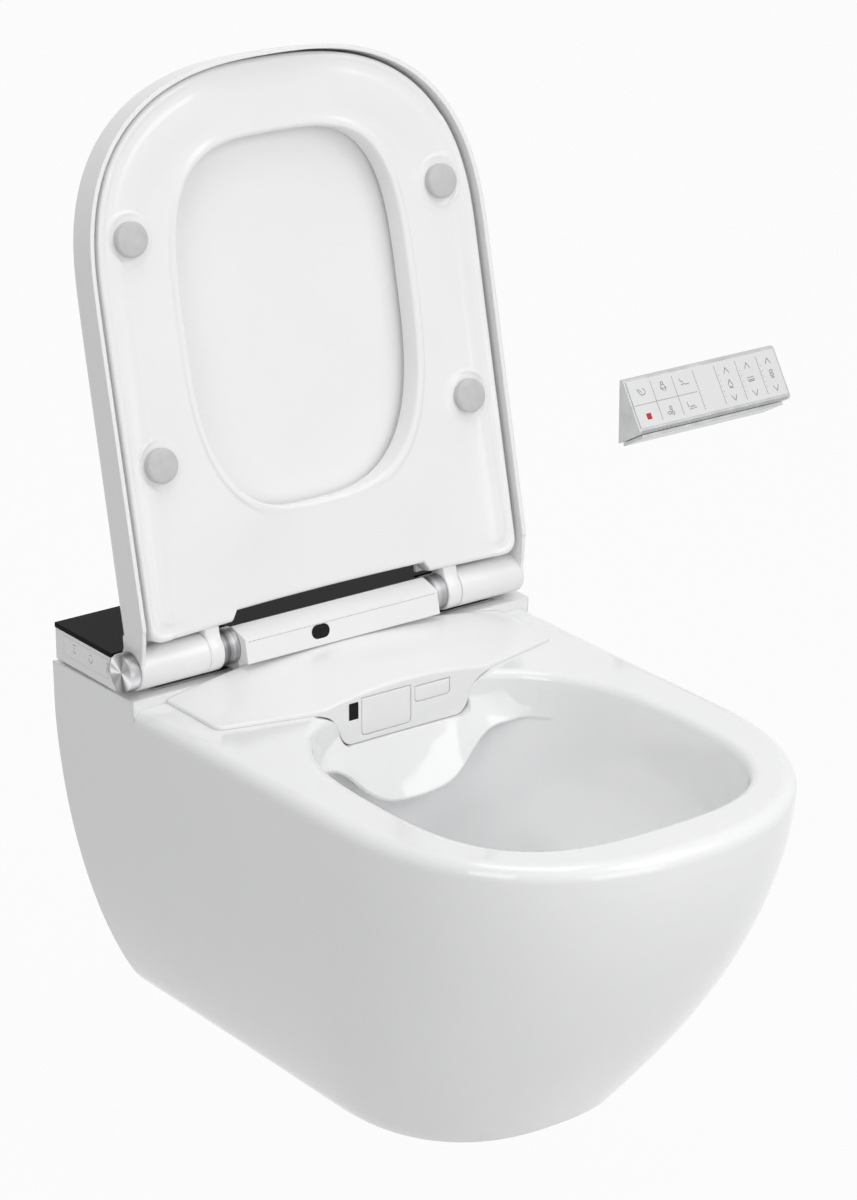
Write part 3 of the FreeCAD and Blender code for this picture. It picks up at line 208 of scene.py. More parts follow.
def painted_glint_metal():
    """Metal turned on a lathe, with painted reflections: bright and dark sectors painted into its colour
    round the hinge line, and fine rings in its roughness.
    """
    material, tree, shader = new_material("painted_glint_metal")
    place = tree.nodes.new("ShaderNodeTexCoord")
    parts = tree.nodes.new("ShaderNodeSeparateXYZ")
    tree.links.new(place.outputs["Object"], parts.inputs["Vector"])
    up = math_node(tree, "SUBTRACT", parts.outputs["Z"], HINGE.z * MM)
    back = math_node(tree, "SUBTRACT", parts.outputs["Y"], HINGE.y * MM)
    turn = math_node(tree, "ARCTAN2", up, back)
    share = math_node(tree, "MULTIPLY_ADD", turn, 1 / (2 * math.pi), 1.0)
    wrapped = math_node(tree, "FRACT", share)
    ramp = tree.nodes.new("ShaderNodeValToRGB")
    while len(ramp.color_ramp.elements) < len(PAINTED_GLINT_STOPS):
        ramp.color_ramp.elements.new(0.5)
    for stop, (degrees, value) in zip(ramp.color_ramp.elements, PAINTED_GLINT_STOPS):
        stop.position = degrees / 360
        stop.color = (value, value, value * 1.01, 1)
    tree.links.new(wrapped, ramp.inputs["Fac"])
    tree.links.new(ramp.outputs["Color"], shader.inputs["Base Color"])
    shader.inputs["Metallic"].default_value = 1.0
    grain = noise(tree, 70.0, 3.0, (30, 1, 1))
    tree.links.new(spread(tree, grain.outputs["Fac"], 0.36, 0.44), shader.inputs["Roughness"])
    return material


# The knob's metal, with painted reflection sectors in its base colour.
painted_glint_knob = painted_glint_metal()

BY_SLOT = {
    "ceramic": ceramic, "white_plastic": white, "satin_plastic": satin, "black_glass": black_glass,
    "black_plastic": black, "bright_metal": turned, "brushed_knob": painted_glint_knob, "grey_rubber": rubber,
    "silver_plastic": silver, "grey_plastic": grey, "steel": steel, "circuit": circuit, "copper_foil": foil,
    "water_rubber": dark_rubber, "battery": cell,
}


def dress(obj, material):
    obj.data.materials.clear()
    obj.data.materials.append(material)


def dress_frame():
    for entry in frame["record"]["subparts"]:
        obj = frame["nodes"][entry["node"]]
        dress(obj, face_white if entry["node"] == "remote_face" else BY_SLOT[entry["material_slot"]])
        for face in obj.data.polygons:
            face.use_smooth = True


# --------------------------------------------------------------------- mesh tools
BOX_FACES = ((0, 1, 2, 3), (4, 5, 6, 7), (0, 1, 5, 4), (1, 2, 6, 5), (2, 3, 7, 6), (3, 0, 4, 7))


def mesh_object(name, points, faces, material, body, slot, replaced=(), sharp=0):
    """A smooth piece from millimetre points, riding on a body.  Edges over the angle sharp stay crisp."""
    data = bpy.data.meshes.new(name)
    data.from_pydata([Vector(p) * MM for p in points], [], faces)
    data.validate()
    bm = bmesh.new()
    bm.from_mesh(data)
    bmesh.ops.remove_doubles(bm, verts=bm.verts, dist=1e-6)
    bmesh.ops.recalc_face_normals(bm, faces=bm.faces)
    bm.to_mesh(data)
    bm.free()
    for face in data.polygons:
        face.use_smooth = True
    if sharp:
        data.set_sharp_from_angle(angle=math.radians(sharp))
    data.materials.append(material)
    obj = bpy.data.objects.new(name, data)
    scene.collection.objects.link(obj)
    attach(obj, body)
    if replaced:
        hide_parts(*replaced)
    return obj


def grid(rows, closed_u=False, closed_v=False):
    """Points and quads from rows of points.  u runs along a row, v from row to row."""
    points = [p for row in rows for p in row]
    wide = len(rows[0])
    tall = len(rows)
    faces = []
    for v in range(tall if closed_v else tall - 1):
        for u in range(wide if closed_u else wide - 1):
            a = v * wide + u
            b = v * wide + (u + 1) % wide
            c = ((v + 1) % tall) * wide + (u + 1) % wide
            d = ((v + 1) % tall) * wide + u
            faces.append((a, b, c, d))
    return points, faces


def capped(rows):
    """A closed tube through rows of points, with flat ends."""
    points, faces = grid(rows, closed_u=True)
    wide = len(rows[0])
    faces.append(tuple(range(wide)))
    faces.append(tuple(range(len(points) - wide, len(points))))
    return points, faces


def box_faces(base):
    """The six faces of a box whose eight corners start at the point number base."""
    return [tuple(base + i for i in face) for face in BOX_FACES]


def circle(steps):
    """Cosine and sine of evenly spaced places round a circle."""
    return [(math.cos(2 * math.pi * i / steps), math.sin(2 * math.pi * i / steps)) for i in range(steps)]


def merged(*parts):
    points, faces = [], []
    for more, shapes in parts:
        base = len(points)
        points.extend(more)
        faces.extend(tuple(i + base for i in face) for face in shapes)
    return points, faces


def signed(value, exponent):
    """A power that keeps the sign."""
    return math.copysign(abs(value) ** exponent, value)


def smooth(value, low, high):
    """A soft step from nought at low to one at high."""
    t = min(max((value - low) / (high - low), 0.0), 1.0)
    return t * t * (3 - 2 * t)


def blend_curve(value, stops):
    """A smooth curve through (place, height) stops."""
    if value <= stops[0][0]:
        return stops[0][1]
    for (a, first), (b, last) in zip(stops, stops[1:]):
        if value <= b:
            return first + (last - first) * smooth(value, a, b)
    return stops[-1][1]


def softer(first, second, width):
    """The smaller of two values with a rounded crossing."""
    gap = first - second
    return (first + second - math.sqrt(gap * gap + width * width)) / 2


def fillet_polygon(corners, steps=6):
    """A closed polyline through (x, y, radius) corners."""
    line = []
    for before, here, after in zip(corners[-1:] + corners[:-1], corners, corners[1:] + corners[:1]):
        p, a, b = Vector(here[:2]), Vector(before[:2]), Vector(after[:2])
        radius = here[2]
        if radius <= 0:
            line.append(p)
            continue
        first, second = (a - p).normalized(), (b - p).normalized()
        half = first.angle(second) / 2
        reach = min(radius / math.tan(half), (a - p).length * 0.49, (b - p).length * 0.49)
        radius = reach * math.tan(half)
        centre = p + (first + second).normalized() * (radius / math.sin(half))
        start, end = p + first * reach - centre, p + second * reach - centre
        sweep = start.angle_signed(end)
        for i in range(steps + 1):
            turn = -sweep * i / steps
            line.append(centre + Vector((start.x * math.cos(turn) - start.y * math.sin(turn),
                                         start.x * math.sin(turn) + start.y * math.cos(turn))))
    return line


def reach_to(line, centre, way):
    """How far a ray from the centre travels that way to the closed line."""
    best = 0.0
    for p, q in zip(line, line[1:] + line[:1]):
        side = q - p
        cross = way.x * side.y - way.y * side.x
        if abs(cross) < 1e-12:
            continue
        off = p - centre
        along = (off.x * side.y - off.y * side.x) / cross
        part = (off.x * way.y - off.y * way.x) / cross
        if along > 0 and -1e-9 <= part <= 1 + 1e-9:
            best = max(best, along)
    return best


def lean_back(x, d, n):
    """From closed seat or lid places, d away from the hinge and n down, to the open pose."""
    turn = math.radians(LEAN)
    return Vector((x, HINGE.y + math.sin(turn) * d - math.cos(turn) * n,
                   HINGE.z + math.cos(turn) * d + math.sin(turn) * n))


# ------------------------------------------------------------------- nozzle cover
RIM = 124.0
LIP_Y = -200.5
COVER_REAR = -110.4
COVER_SIDE = 160.5
COVER_THICK = 3.2
LIP_THICK = 6
LIP_LOW = 92.7
LIP_EDGE = [(48, LIP_LOW), (52, 92.9), (55.5, 94.7), (58.5, 97.8), (60.8, 101.8), (62.4, 106.2),
            (64.2, 110.8), (67.2, 115.5), (71.8, 119.3), (78, 122.2), (84, 123.5), (90, RIM)]
# Left, right, low and high edge, then the lower and the upper corner radius.
NOZZLE_HOLE = (-41.1, 6.1, 97.4, 128.9, 3.5, 0.4)
DRYER_HOLE = (9.6, 43.5, 112.8, 126.4, 3.5, 0.4)
LENS_HOLE = (-52.9, -44.0, 112.6, 126.6, 0.3, 0.3)


def cover_plan():
    """Half of the cover's outline from the middle of its front round to the rear."""
    corners = [(0, LIP_Y, 0), (80, LIP_Y, 30), (COVER_SIDE, -180.5, 9), (COVER_SIDE, COVER_REAR, 0),
               (0, COVER_REAR, 0)]
    line = fillet_polygon(corners, 8)[:-1]
    walk = [line[0]]
    for p, q in zip(line, line[1:]):
        steps = max(1, math.ceil((q - p).length / 5))
        walk.extend(p + (q - p) * i / steps for i in range(1, steps + 1))
    return walk


def front_of(plan, x):
    """The outline's y at a place x along the front."""
    for p, q in zip(plan, plan[1:]):
        if p.x <= abs(x) <= q.x and q.x > p.x:
            return p.y + (q.y - p.y) * (abs(x) - p.x) / (q.x - p.x)
    return plan[-1].y


PLAN = cover_plan()


def cover_top(x, y):
    """Height of the cover's domed top."""
    across = min(abs(x) / COVER_SIDE, 1.0)
    front = front_of(PLAN, min(abs(x), COVER_SIDE - 0.5))
    edge = -softer(-127.2, -(135.6 - 0.0015 * x * x), 1.5)
    rear = 127.2 + 15.8 * (1 - across * across)
    part = min(max((y - front) / (COVER_REAR - front), 0.0), 1.0)
    return edge + (rear - edge) * part * (1.6 - 0.6 * part)


def curve_between(before, p, q, after, t):
    """A place at the share t of the smooth curve from p to q."""
    return tuple(0.5 * (2 * b + (c - a) * t + (2 * a - 5 * b + 4 * c - d) * t * t
                        + (3 * b - a - 3 * c + d) * t ** 3)
                 for a, b, c, d in zip(before, p, q, after))


def cover_columns():
    """Right half of the cover: outline place, inward way, lower edge and rear place."""
    columns = []
    lower = [(x, LIP_LOW) for x in range(0, 48, 6)]
    stops = [(44, LIP_LOW), *LIP_EDGE, (96, RIM)]
    for near in zip(stops, stops[1:], stops[2:], stops[3:]):
        lower.extend(curve_between(*near, i / 3) for i in range(3))
    lower.append(LIP_EDGE[-1])
    for x, z in lower:
        slope = (front_of(PLAN, x + 1) - front_of(PLAN, abs(x - 1))) / 2
        inward = Vector((-slope, 1)).normalized()
        columns.append((Vector((x, front_of(PLAN, x))), inward, z, Vector((x, COVER_REAR))))
    rest = [p for p in PLAN if p.x > 94]
    turning = [p for p in rest if p.x > 150]
    for i, p in enumerate(rest):
        ahead, behind = rest[min(i + 1, len(rest) - 1)], rest[max(i - 1, 0)]
        way = (ahead - behind).normalized()
        rear = p.x if p.x <= 150 else 150 + 5 * (turning.index(p) + 1) / len(turning)
        columns.append((p, Vector((-way.y, way.x)), RIM, Vector((rear, COVER_REAR))))
    return columns


def hole_line(left, right, low, high, lower_round, upper_round):
    return fillet_polygon([(left, low, lower_round), (right, low, lower_round), (right, high, upper_round),
                           (left, high, upper_round)], 5)


def plate_with_holes(outline, holes, y):
    """A flat face at a depth y with holes through it."""
    lines = [[Vector((p[0], p[1], 0)) for p in line] for line in (outline, *holes)]
    points = [Vector((p.x, y, p.y)) for line in lines for p in line]
    return points, [tuple(face) for face in tessellate_polygon(lines)]


def make_cover():
    top_steps, bend_steps, foot_steps = 14, 7, 5
    half = cover_columns()
    columns = [(Vector((-p.x, p.y)), Vector((-n.x, n.y)), z, Vector((-q.x, q.y)))
               for p, n, z, q in reversed(half[1:])]
    columns += half
    rows = []
    for p, n, low, rear in columns:
        lip = 1 - smooth(abs(p.x), 66, 84)
        bend, thick = 1.7 + 1.5 * lip, LIP_THICK if low < RIM - 0.01 else 3.0
        inner = p + n * bend
        row = []
        for i in range(top_steps):
            spot = rear + (inner - rear) * smooth(i / top_steps, -0.6, 1.0) if i else rear
            row.append(Vector((*spot, cover_top(*spot))))
        crest = cover_top(*inner) - bend
        for i in range(bend_steps):
            a = math.pi / 2 * i / (bend_steps - 1)
            row.append(Vector((*(inner - n * bend * math.sin(a)), crest + bend * math.cos(a))))
        row.append(Vector((*p, crest - 0.25)))
        row.append(Vector((*p, low + 0.85)))
        for i in range(foot_steps):
            a = math.pi / 2 * i / (foot_steps - 1)
            row.append(Vector((*(p + n * 0.6 * (1 - math.cos(a))), low + 0.6 * (1 - math.sin(a)))))
        row.append(Vector((*(p + n * thick), low)))
        row.append(Vector((*(p + n * thick), cover_top(*p) - COVER_THICK)))
        row.append(Vector((*rear, cover_top(*rear) - COVER_THICK)))
        rows.append(row)
    points, faces = capped(rows)
    wide = len(rows[0])
    front = top_steps + bend_steps
    back = front + 2 + foot_steps
    flat = [v for v, (p, n, low, rear) in enumerate(columns) if abs(p.x) < 72]
    open_quads = {(v * wide + u, v * wide + u + 1) for v in flat[:-1] for u in (front, back)}
    faces = [face for face in faces if (face[0], face[1]) not in open_quads]
    holes = [hole_line(*hole) for hole in (NOZZLE_HOLE, DRYER_HOLE, LENS_HOLE)]
    parts = [(points, faces)]
    for first, depth in ((front, LIP_Y), (back, LIP_Y + LIP_THICK)):
        outline = [(rows[v][first].x, rows[v][first].z) for v in flat]
        outline += [(rows[v][first + 1].x, rows[v][first + 1].z) for v in reversed(flat)]
        parts.append(plate_with_holes(outline, holes, depth))
    for line in holes:
        rows = [[Vector((p.x, y, p.y)) for p in line] for y in (LIP_Y, LIP_Y + LIP_THICK)]
        parts.append(grid(rows, closed_u=True))
    mesh_object("cover_shell", *merged(*parts), white, "pan_unit", "white_plastic", ("nozzle_cover",),
                sharp=38)


def make_flap(name, hole, gap, axis_z, stubs, node):
    """A thin door with rounded lower corners and two stub pins at the height axis_z."""
    left, right, low, high, lower_round, upper_round = hole
    outline = hole_line(left + gap, right - gap, low + gap, high - 0.7, lower_round - gap * 0.6, 0.4)
    middle = Vector(((left + right) / 2, (low + high) / 2))
    rows = []
    for shrink, depth in ((6.0, 0.0), (0.5, 0.0), (0.15, 0.12), (0.0, 0.4), (0.0, 2.2), (0.3, 2.4),
                          (6.0, 2.4)):
        row = []
        for p in outline:
            off = p - middle
            across = off.x * (1 - shrink / abs(middle.x - left))
            up = off.y * (1 - shrink / abs(middle.y - low))
            row.append(Vector((middle.x + across, LIP_Y + depth, middle.y + up)))
        rows.append(row)
    parts = [capped(rows)]
    for start, end in ((left - stubs[0], left + gap + 1), (right - gap - 1, right + stubs[1])):
        rows = []
        for x, radius in ((start, 0.6), (start + 0.3, 0.9), (end, 0.9), (end, 0.6)):
            rows.append([Vector((x, LIP_Y + 1.2 + radius * c, axis_z + radius * s)) for c, s in circle(16)])
        parts.append(capped(rows))
    mesh_object(name, *merged(*parts), white, node, "white_plastic", (node,), sharp=38)


def make_flaps():
    make_flap("nozzle_door", NOZZLE_HOLE, 0.4, 127.2, (1.6, 1.6), "nozzle_flap")
    make_flap("dryer_door", DRYER_HOLE, 0.4, 124.2, (0.9, 1.6), "dryer_flap")


# --------------------------------------------------------------------------- seat
SEAT_MIDDLE = Vector((0.0, 247.0))
SEAT_HALF = 175.4
SEAT_REAR = 19.5
NOTCH_HALF = 93.4
NOTCH_REAR = 27.5
SEAT_BOTTOM = 23.1
INNER_ROLL = 3.2
TOP_ROLL = 2.5
BUMPERS = [(side * x, d) for side in (-1, 1) for x, d in ((146.2, 153.7), (144.8, 326.5))]


def seat_rim():
    """The seat's outline: a blunt curve in front, and a notch for the sensor housing behind."""
    line = []
    for i in range(61):
        turn = math.pi * i / 60
        across, along = signed(math.cos(turn), 2 / 2.6), signed(math.sin(turn), 2 / 2.6)
        line.append(Vector((SEAT_HALF * across, 280 + 164.7 * along)))
    left = [(-SEAT_HALF, 150, 0), (-SEAT_HALF, SEAT_REAR, 11), (-NOTCH_HALF, SEAT_REAR, 2.5),
            (-NOTCH_HALF, NOTCH_REAR, 2.5)]
    right = [(-x, d, radius) for x, d, radius in reversed(left)]
    return line + fillet_polygon(left + right, 8)


def seat_hole():
    line = []
    for i in range(96):
        turn = 2 * math.pi * i / 96
        reach, blunt = (139.5, 3.5) if math.sin(turn) > 0 else (149.3, 2.9)
        across, along = signed(math.cos(turn), 2 / blunt), signed(math.sin(turn), 2 / blunt)
        line.append(Vector((105.5 * across, 247.3 + reach * along)))
    return line


def seat_under(x, d, outer, inner):
    """How far down the closed seat's underside lies."""
    base = SEAT_BOTTOM + blend_curve(outer, ((4, 0), (7.5, -1.1), (12, -1.1), (17, 0.0), (25, 0.0),
                                             (48, -2.6), (75, -3.2)))
    base += blend_curve(inner, ((2.5, 2.4), (5.0, 2.4), (8.5, 0.2), (14, 0.0)))
    recess = HINGE.z - cover_top(x, HINGE.y - d) - 1.9
    base = softer(base, recess + smooth(abs(x), 152, 162) * 30, 2.6)
    for bx, bd in BUMPERS:
        away = math.hypot(x - bx, (d - bd) * 0.96)
        if away < 26:
            flat = SEAT_BOTTOM - 1.5
            inside = 1 - smooth(away, 16.3, 18.4)
            base = base * (1 - inside) + flat * inside
            base += 0.7 * math.exp(-((away - 19.0) / 1.1) ** 2)
    return base


def make_seat():
    rim = seat_rim()
    hole = seat_hole()
    rows = []
    for c, s in circle(900):
        way = Vector((c, s))
        outer = reach_to(rim, SEAT_MIDDLE, way)
        inner = reach_to(hole, SEAT_MIDDLE, way)
        row = []

        def put(reach, n):
            spot = SEAT_MIDDLE + way * reach
            row.append(lean_back(spot.x, spot.y, n))

        def under(reach):
            spot = SEAT_MIDDLE + way * reach
            return seat_under(spot.x, spot.y, outer - reach, reach - inner)

        def top(reach):
            spot = SEAT_MIDDLE + way * reach
            return -2.3 + 4.6 * max(spot.y, 0) / 444.7

        edge = under(inner + INNER_ROLL)
        for i in range(5):
            a = math.pi / 2 * i / 5
            put(inner + INNER_ROLL * (1 - math.cos(a)), edge - INNER_ROLL + INNER_ROLL * math.sin(a))
        squeeze = min(1.0, (outer - inner) / 40)
        places = [3.2, 4, 5, 6, 7, 8, 9, 10.5, 12, 14]
        tail = [4, 5, 6, 7, 8, 9.5, 11, 12.5, 14, 15.5, 17, 19]
        middle = 34
        first, last = inner + 14 * squeeze, outer - 19 * squeeze
        reaches = [inner + e * squeeze for e in places]
        reaches += [first + (last - first) * i / middle for i in range(1, middle)]
        reaches += [outer - e * squeeze for e in reversed(tail)]
        for reach in reaches:
            put(reach, under(reach))
        bend = 4 * squeeze
        edge = under(outer - bend)
        for i in range(1, 6):
            a = math.pi / 2 * i / 5
            put(outer - bend + bend * math.sin(a), edge - bend + bend * math.cos(a))
        roof = top(outer)
        put(outer, (edge - bend + roof + TOP_ROLL) / 2)
        for i in range(5):
            a = math.pi / 2 * i / 4
            put(outer - TOP_ROLL + TOP_ROLL * math.cos(a), roof + TOP_ROLL - TOP_ROLL * math.sin(a))
        for i in range(1, 6):
            spot = outer - TOP_ROLL + (inner + TOP_ROLL - outer + TOP_ROLL) * i / 6
            put(spot, top(spot))
        roof = top(inner)
        for i in range(5):
            a = math.pi / 2 * i / 4
            put(inner + TOP_ROLL - TOP_ROLL * math.sin(a), roof + TOP_ROLL - TOP_ROLL * math.cos(a))
        rows.append(row)
    parts = [grid(rows, closed_u=True, closed_v=True)]
    for side in (-1, 1):
        parts.append(hinge_ring(side, 107.9, 120.9))
    mesh_object("seat_ring", *merged(*parts), white, "seat", "white_plastic",
                ("seat_upper_shell", "seat_lower_shell"))


def hinge_ring(side, near, far):
    """The seat's arm, which curls round the hinge."""
    profile = []
    for i in range(33):
        a = math.radians(47.8 + (265.0 - 47.8) * i / 32)
        profile.append((16.2 * math.cos(a), 16.2 * math.sin(a)))
    profile = [(24.0, 12.0), (16.5, 12.0), (13.2, 12.2), *profile[1:], (6.0, -14.8), (14.0, -6.0),
               (24.0, -2.0)]
    rows = []
    for x, shrink in ((near, 1.0), (near + 0.3, 0.35), (near + 1.0, 0.0), (far - 1.0, 0.0),
                      (far - 0.3, 0.35), (far, 1.0)):
        row = []
        for d, n in profile:
            size = math.hypot(d, n)
            row.append(lean_back(side * x, d - d / size * shrink, n - n / size * shrink))
        rows.append(row)
    return capped(rows)


def make_bumpers():
    parts = []
    for bx, bd in BUMPERS:
        rows = []
        for reach, n in ((13.7, 20.5), (13.7, 26.2), (13.3, 27.1), (12.5, 27.6), (11.0, 27.85),
                         (7.0, 28.0), (3.0, 28.1), (0.01, 28.1)):
            rows.append([lean_back(bx + reach * c, bd + reach * s, n) for c, s in circle(64)])
        parts.append(grid(rows, closed_u=True))
    mesh_object("seat_pads", *merged(*parts), rubber, "seat", "grey_rubber", ("seat_bumpers",))


# --------------------------------------------------------------- knob, lid cheeks
def lathe(profile, middle_x, side, steps=96):
    """A turned piece on the hinge line from (outward distance, radius) places."""
    return capped([[Vector((side * (middle_x + out), HINGE.y + radius * c, HINGE.z + radius * s))
                    for c, s in circle(steps)] for out, radius in profile])


def make_knob():
    """A disc with a shallow cone in its face and a softened rim."""
    profile = [(9.2, 0.05), (10.05, 13.9), (10.1, 14.3), (10.0, 14.7), (9.7, 15.0), (9.2, 15.2),
               (1.3, 15.2), (0.7, 15.0), (0.5, 14.6), (0.5, 3.0), (-22.0, 3.0), (-22.0, 0.05)]
    mesh_object("knob_cap", *lathe(profile, 183.7, -1), painted_glint_knob, "control_knob", "brushed_knob",
                ("control_knob",), sharp=40)


def make_cheeks():
    """The lid's side walls carried round the ends of its hinge barrels."""
    outline = []
    for i in range(25):
        a = math.radians(76 + (270 - 76) * i / 24)
        outline.append(Vector((16.15 * math.cos(a), 16.15 * math.sin(a))))
    corners = [(9.0, -13.2), (18.0, -7.6), (27.0, -6.2), (35.0, 25.0), (24.0, 22.9), (12.5, 19.4)]
    outline += [Vector(c) for c in corners]
    middle = Vector((12, 3))
    parts = []
    for side in (-1, 1):
        rows = []
        for x, shrink in ((180.3, 0.0), (182.4, 0.0), (183.0, 0.15), (183.4, 0.5), (183.6, 1.1),
                          (183.65, 2.0)):
            rows.append([lean_back(side * x, *(p + (middle - p).normalized() * shrink)) for p in outline])
        parts.append(capped(rows))
    mesh_object("lid_cheeks", *merged(*parts), white, "lid", "white_plastic", sharp=50)


# ------------------------------------------------------------------ printed marks
def face_place(u, v, lift):
    """A place on the remote control's sloping face, u along it and v down it."""
    down = Vector((-24.7, -38.5)) / math.hypot(24.7, 38.5)
    spot = Vector((-7.8, 256.5)) + down * v + Vector((down.y, -down.x)) * lift
    return Vector((370.0 + u, spot.x, spot.y))


def cheek_place(u, v, lift):
    """A place on the casing's left side, u from the wall and v up."""
    return Vector((-192.85 - 0.3 - lift, -u, v))


def strokes(lines, width, place, low, high):
    """Thin raised bars along polylines on a flat face."""
    points, faces = [], []
    for line in lines:
        for p, q in zip(line, line[1:]):
            way = (Vector(q) - Vector(p)).normalized()
            side = Vector((-way.y, way.x)) * width / 2
            start, end = Vector(p) - way * width * 0.3, Vector(q) + way * width * 0.3
            base = len(points)
            corners = (start - side, end - side, end + side, start + side)
            for lift in (low, high):
                points += [place(*spot, lift) for spot in corners]
            faces += box_faces(base)
    return points, faces


def arc(x, y, rx, ry, start, end, steps=8):
    """Part of an ellipse, from one angle in degrees to another."""
    return [(x + rx * math.cos(math.radians(start + (end - start) * i / steps)),
             y + ry * math.sin(math.radians(start + (end - start) * i / steps))) for i in range(steps + 1)]


def dashes(start, end, pitch=2.1, share=0.5):
    """A dashed line, as short separate strokes."""
    start, end = Vector(start), Vector(end)
    way = (end - start).normalized()
    count = int((end - start).length / pitch)
    return [[tuple(start + way * pitch * i), tuple(start + way * pitch * (i + share))]
            for i in range(count)]


def shifted(lines, x, y):
    return [[(p[0] + x, p[1] + y) for p in line] for line in lines]


def ring(x, y, rx, ry):
    return arc(x, y, rx, ry, 0, 360)


def make_remote_marks():
    """Dashed lines between the key fields, simple signs on the keys and a red stop key."""
    pitch, first = 23.7, 3.2
    edges = []
    for k in range(1, 4):
        edges += dashes((first + pitch * k, 5.5), (first + pitch * k, 41.5))
    for k in range(4, 7):
        edges += dashes((first + pitch * k, 5.5), (first + pitch * k, 42.0))
    edges += dashes((3.4, 23.6), (first + pitch * 3, 23.6))
    mesh_object("key_lines", *strokes(edges, 0.45, face_place, 0.7, 0.9), ink, "remote", "grey_plastic")
    up = [[(-2.9, 2.4), (0, -2.6), (2.9, 2.4)]]
    down = [[(-2.9, -2.4), (0, 2.6), (2.9, -2.4)]]
    wash = [[(-4.0, -2.8), (-2.2, 1.6), (-0.3, 3.2)], arc(1.2, 0.2, 3.0, 2.8, -70, 110),
            [(-2.6, -2.4), (0.4, 0.6)]]
    front_wash = [ring(0, -3.4, 1.3, 1.3), [(-1.2, -2.2), (-2.6, 1.2), (0.4, 3.6)],
                  [(1.0, -2.2), (3.2, 1.2), (1.6, 3.8)], [(-2.6, 1.2), (3.2, 1.2)]]
    seat = [[(-4.2, 2.2), (-1.0, 1.6), (1.0, 2.4), (5.0, 2.0)], [(-4.2, -3.6), (-3.6, -0.6)],
            [(-2.4, -1.4), (-1.4, 0.6)]]
    warm = [[(-4.0, 2.8), (4.6, 2.2)], [(-4.2, -4.0), (-4.0, 0.6)],
            arc(-1.0, 1.2, 1.2, 1.0, 180, 360), arc(1.8, 1.0, 1.2, 1.0, 180, 360)]
    fan = [ring(-1.9, 1.6, 1.9, 1.3), ring(2.0, 2.2, 1.3, 1.8), ring(0.9, -2.3, 1.2, 1.9)]
    drop = [[(0, -3.6), (-2.0, 0.4)], arc(0, 0.9, 2.1, 2.2, 180, 0), [(2.1, 0.6), (0, -3.6)],
            [(-1.6, 3.9), (2.4, 3.9)]]
    water = [[(-3.8, -1.2), (3.8, -1.6)], [(-4.0, 1.0), (4.2, 0.6)],
             arc(-1.6, 1.6, 1.2, 0.9, 0, 180), arc(1.8, 1.4, 1.2, 0.9, 0, 180)]
    seat_heat = [ring(0, -2.6, 1.8, 1.3), ring(0, 0.6, 2.0, 1.2), [(-1.6, 2.8), (1.8, 2.8)],
                 [(-1.2, 3.8), (1.2, 3.8)]]
    icons = []
    for column, row, lines in ((0, 0, wash), (1, 0, front_wash), (2, 0, seat), (1, 1, fan), (2, 1, warm)):
        icons += shifted(lines, first + pitch * (column + 0.5) - 0.6, 12.6 if row == 0 else 34.4)
    for column, lines in ((4, drop), (5, water), (6, seat_heat)):
        middle = first + pitch * (column + 0.5) - 0.6
        icons += shifted(up, middle, 11.3) + shifted(lines, middle, 23.4) + shifted(down, middle, 36.4)
        for k in range(5):
            icons.append([(middle - 9.2, 14.2 + 4.9 * k), (middle - 8.8, 14.2 + 4.9 * k)])
    mesh_object("key_icons", *strokes(icons, 0.42, face_place, 0.7, 0.92), ink, "remote", "grey_plastic")
    stop = [[(first + pitch * 0.5 - 1.9, 34.8), (first + pitch * 0.5 - 0.1, 34.8)]]
    mesh_object("stop_key", *strokes(stop, 5.4, face_place, 0.7, 0.92), red_ink, "remote", "grey_plastic")


def make_remote_ribs():
    """Fine grip ribs along the remote control's front lower edge."""
    points, faces = [], []
    top, low = Vector((-32.5, 218.0)), Vector((-31.0, 214.5))
    way = (low - top).normalized()
    out = Vector((way.y, -way.x))
    for k in range(112):
        x = 373.0 + 1.46 * k
        base = len(points)
        for along in (0.3, 3.4):
            for across, lift in ((0.0, -0.05), (0.25, 0.3), (0.65, 0.3), (0.9, -0.05)):
                spot = top + way * along + out * lift
                points.append(Vector((x + across, spot.x, spot.y)))
        faces += box_faces(base)
    mesh_object("grip_ribs", points, faces, silver, "remote", "silver_plastic", sharp=20)


def make_casing_marks():
    """The signs over the three touch fields on the casing's left side."""
    flame = [[(-1.6, -2.4), (0.2, -1.2), (1.8, -2.4)], [(-0.4, -0.6), (0.0, 2.2)],
             arc(0.2, 3.4, 2.2, 1.0, 20, 160)]
    power = [arc(0, -0.4, 2.5, 2.6, 150, 390), arc(0.2, 2.6, 1.6, 0.8, 20, 160)]
    valve = [[(-1.4, -2.8), (-1.0, 1.0), (0.8, 2.4)], [(1.2, -2.6), (1.6, 0.2), (-0.6, 1.4)],
             arc(0.2, 3.6, 1.8, 0.8, 20, 160)]
    lines = []
    for y, mark in ((29.8, flame), (53.8, power), (78.5, valve)):
        lines += shifted(mark, y, 149.7)
    mesh_object("side_marks", *strokes(lines, 0.45, cheek_place, -0.05, 0.08), pale_ink, "pan_unit",
                "grey_plastic")


def make_seam():
    """The fine joint along the top of the sensor housing's front."""
    points, faces = [], []
    top, low = Vector((-117.7, 162.6)), Vector((-121.8, 143.3))
    way = (low - top).normalized()
    out = Vector((way.y, -way.x))
    for k in range(45):
        x = -89.6 + 4.0 * k
        base = len(points)
        for lift in (-0.1, 0.06):
            for across, along in ((0, 2.2), (3.4, 2.2), (3.4, 2.55), (0, 2.55)):
                spot = top + way * along + out * lift
                points.append(Vector((x + across, spot.x, spot.y)))
        faces += box_faces(base)
    mesh_object("housing_seam", points, faces, pale_ink, "pan_unit", "grey_plastic")


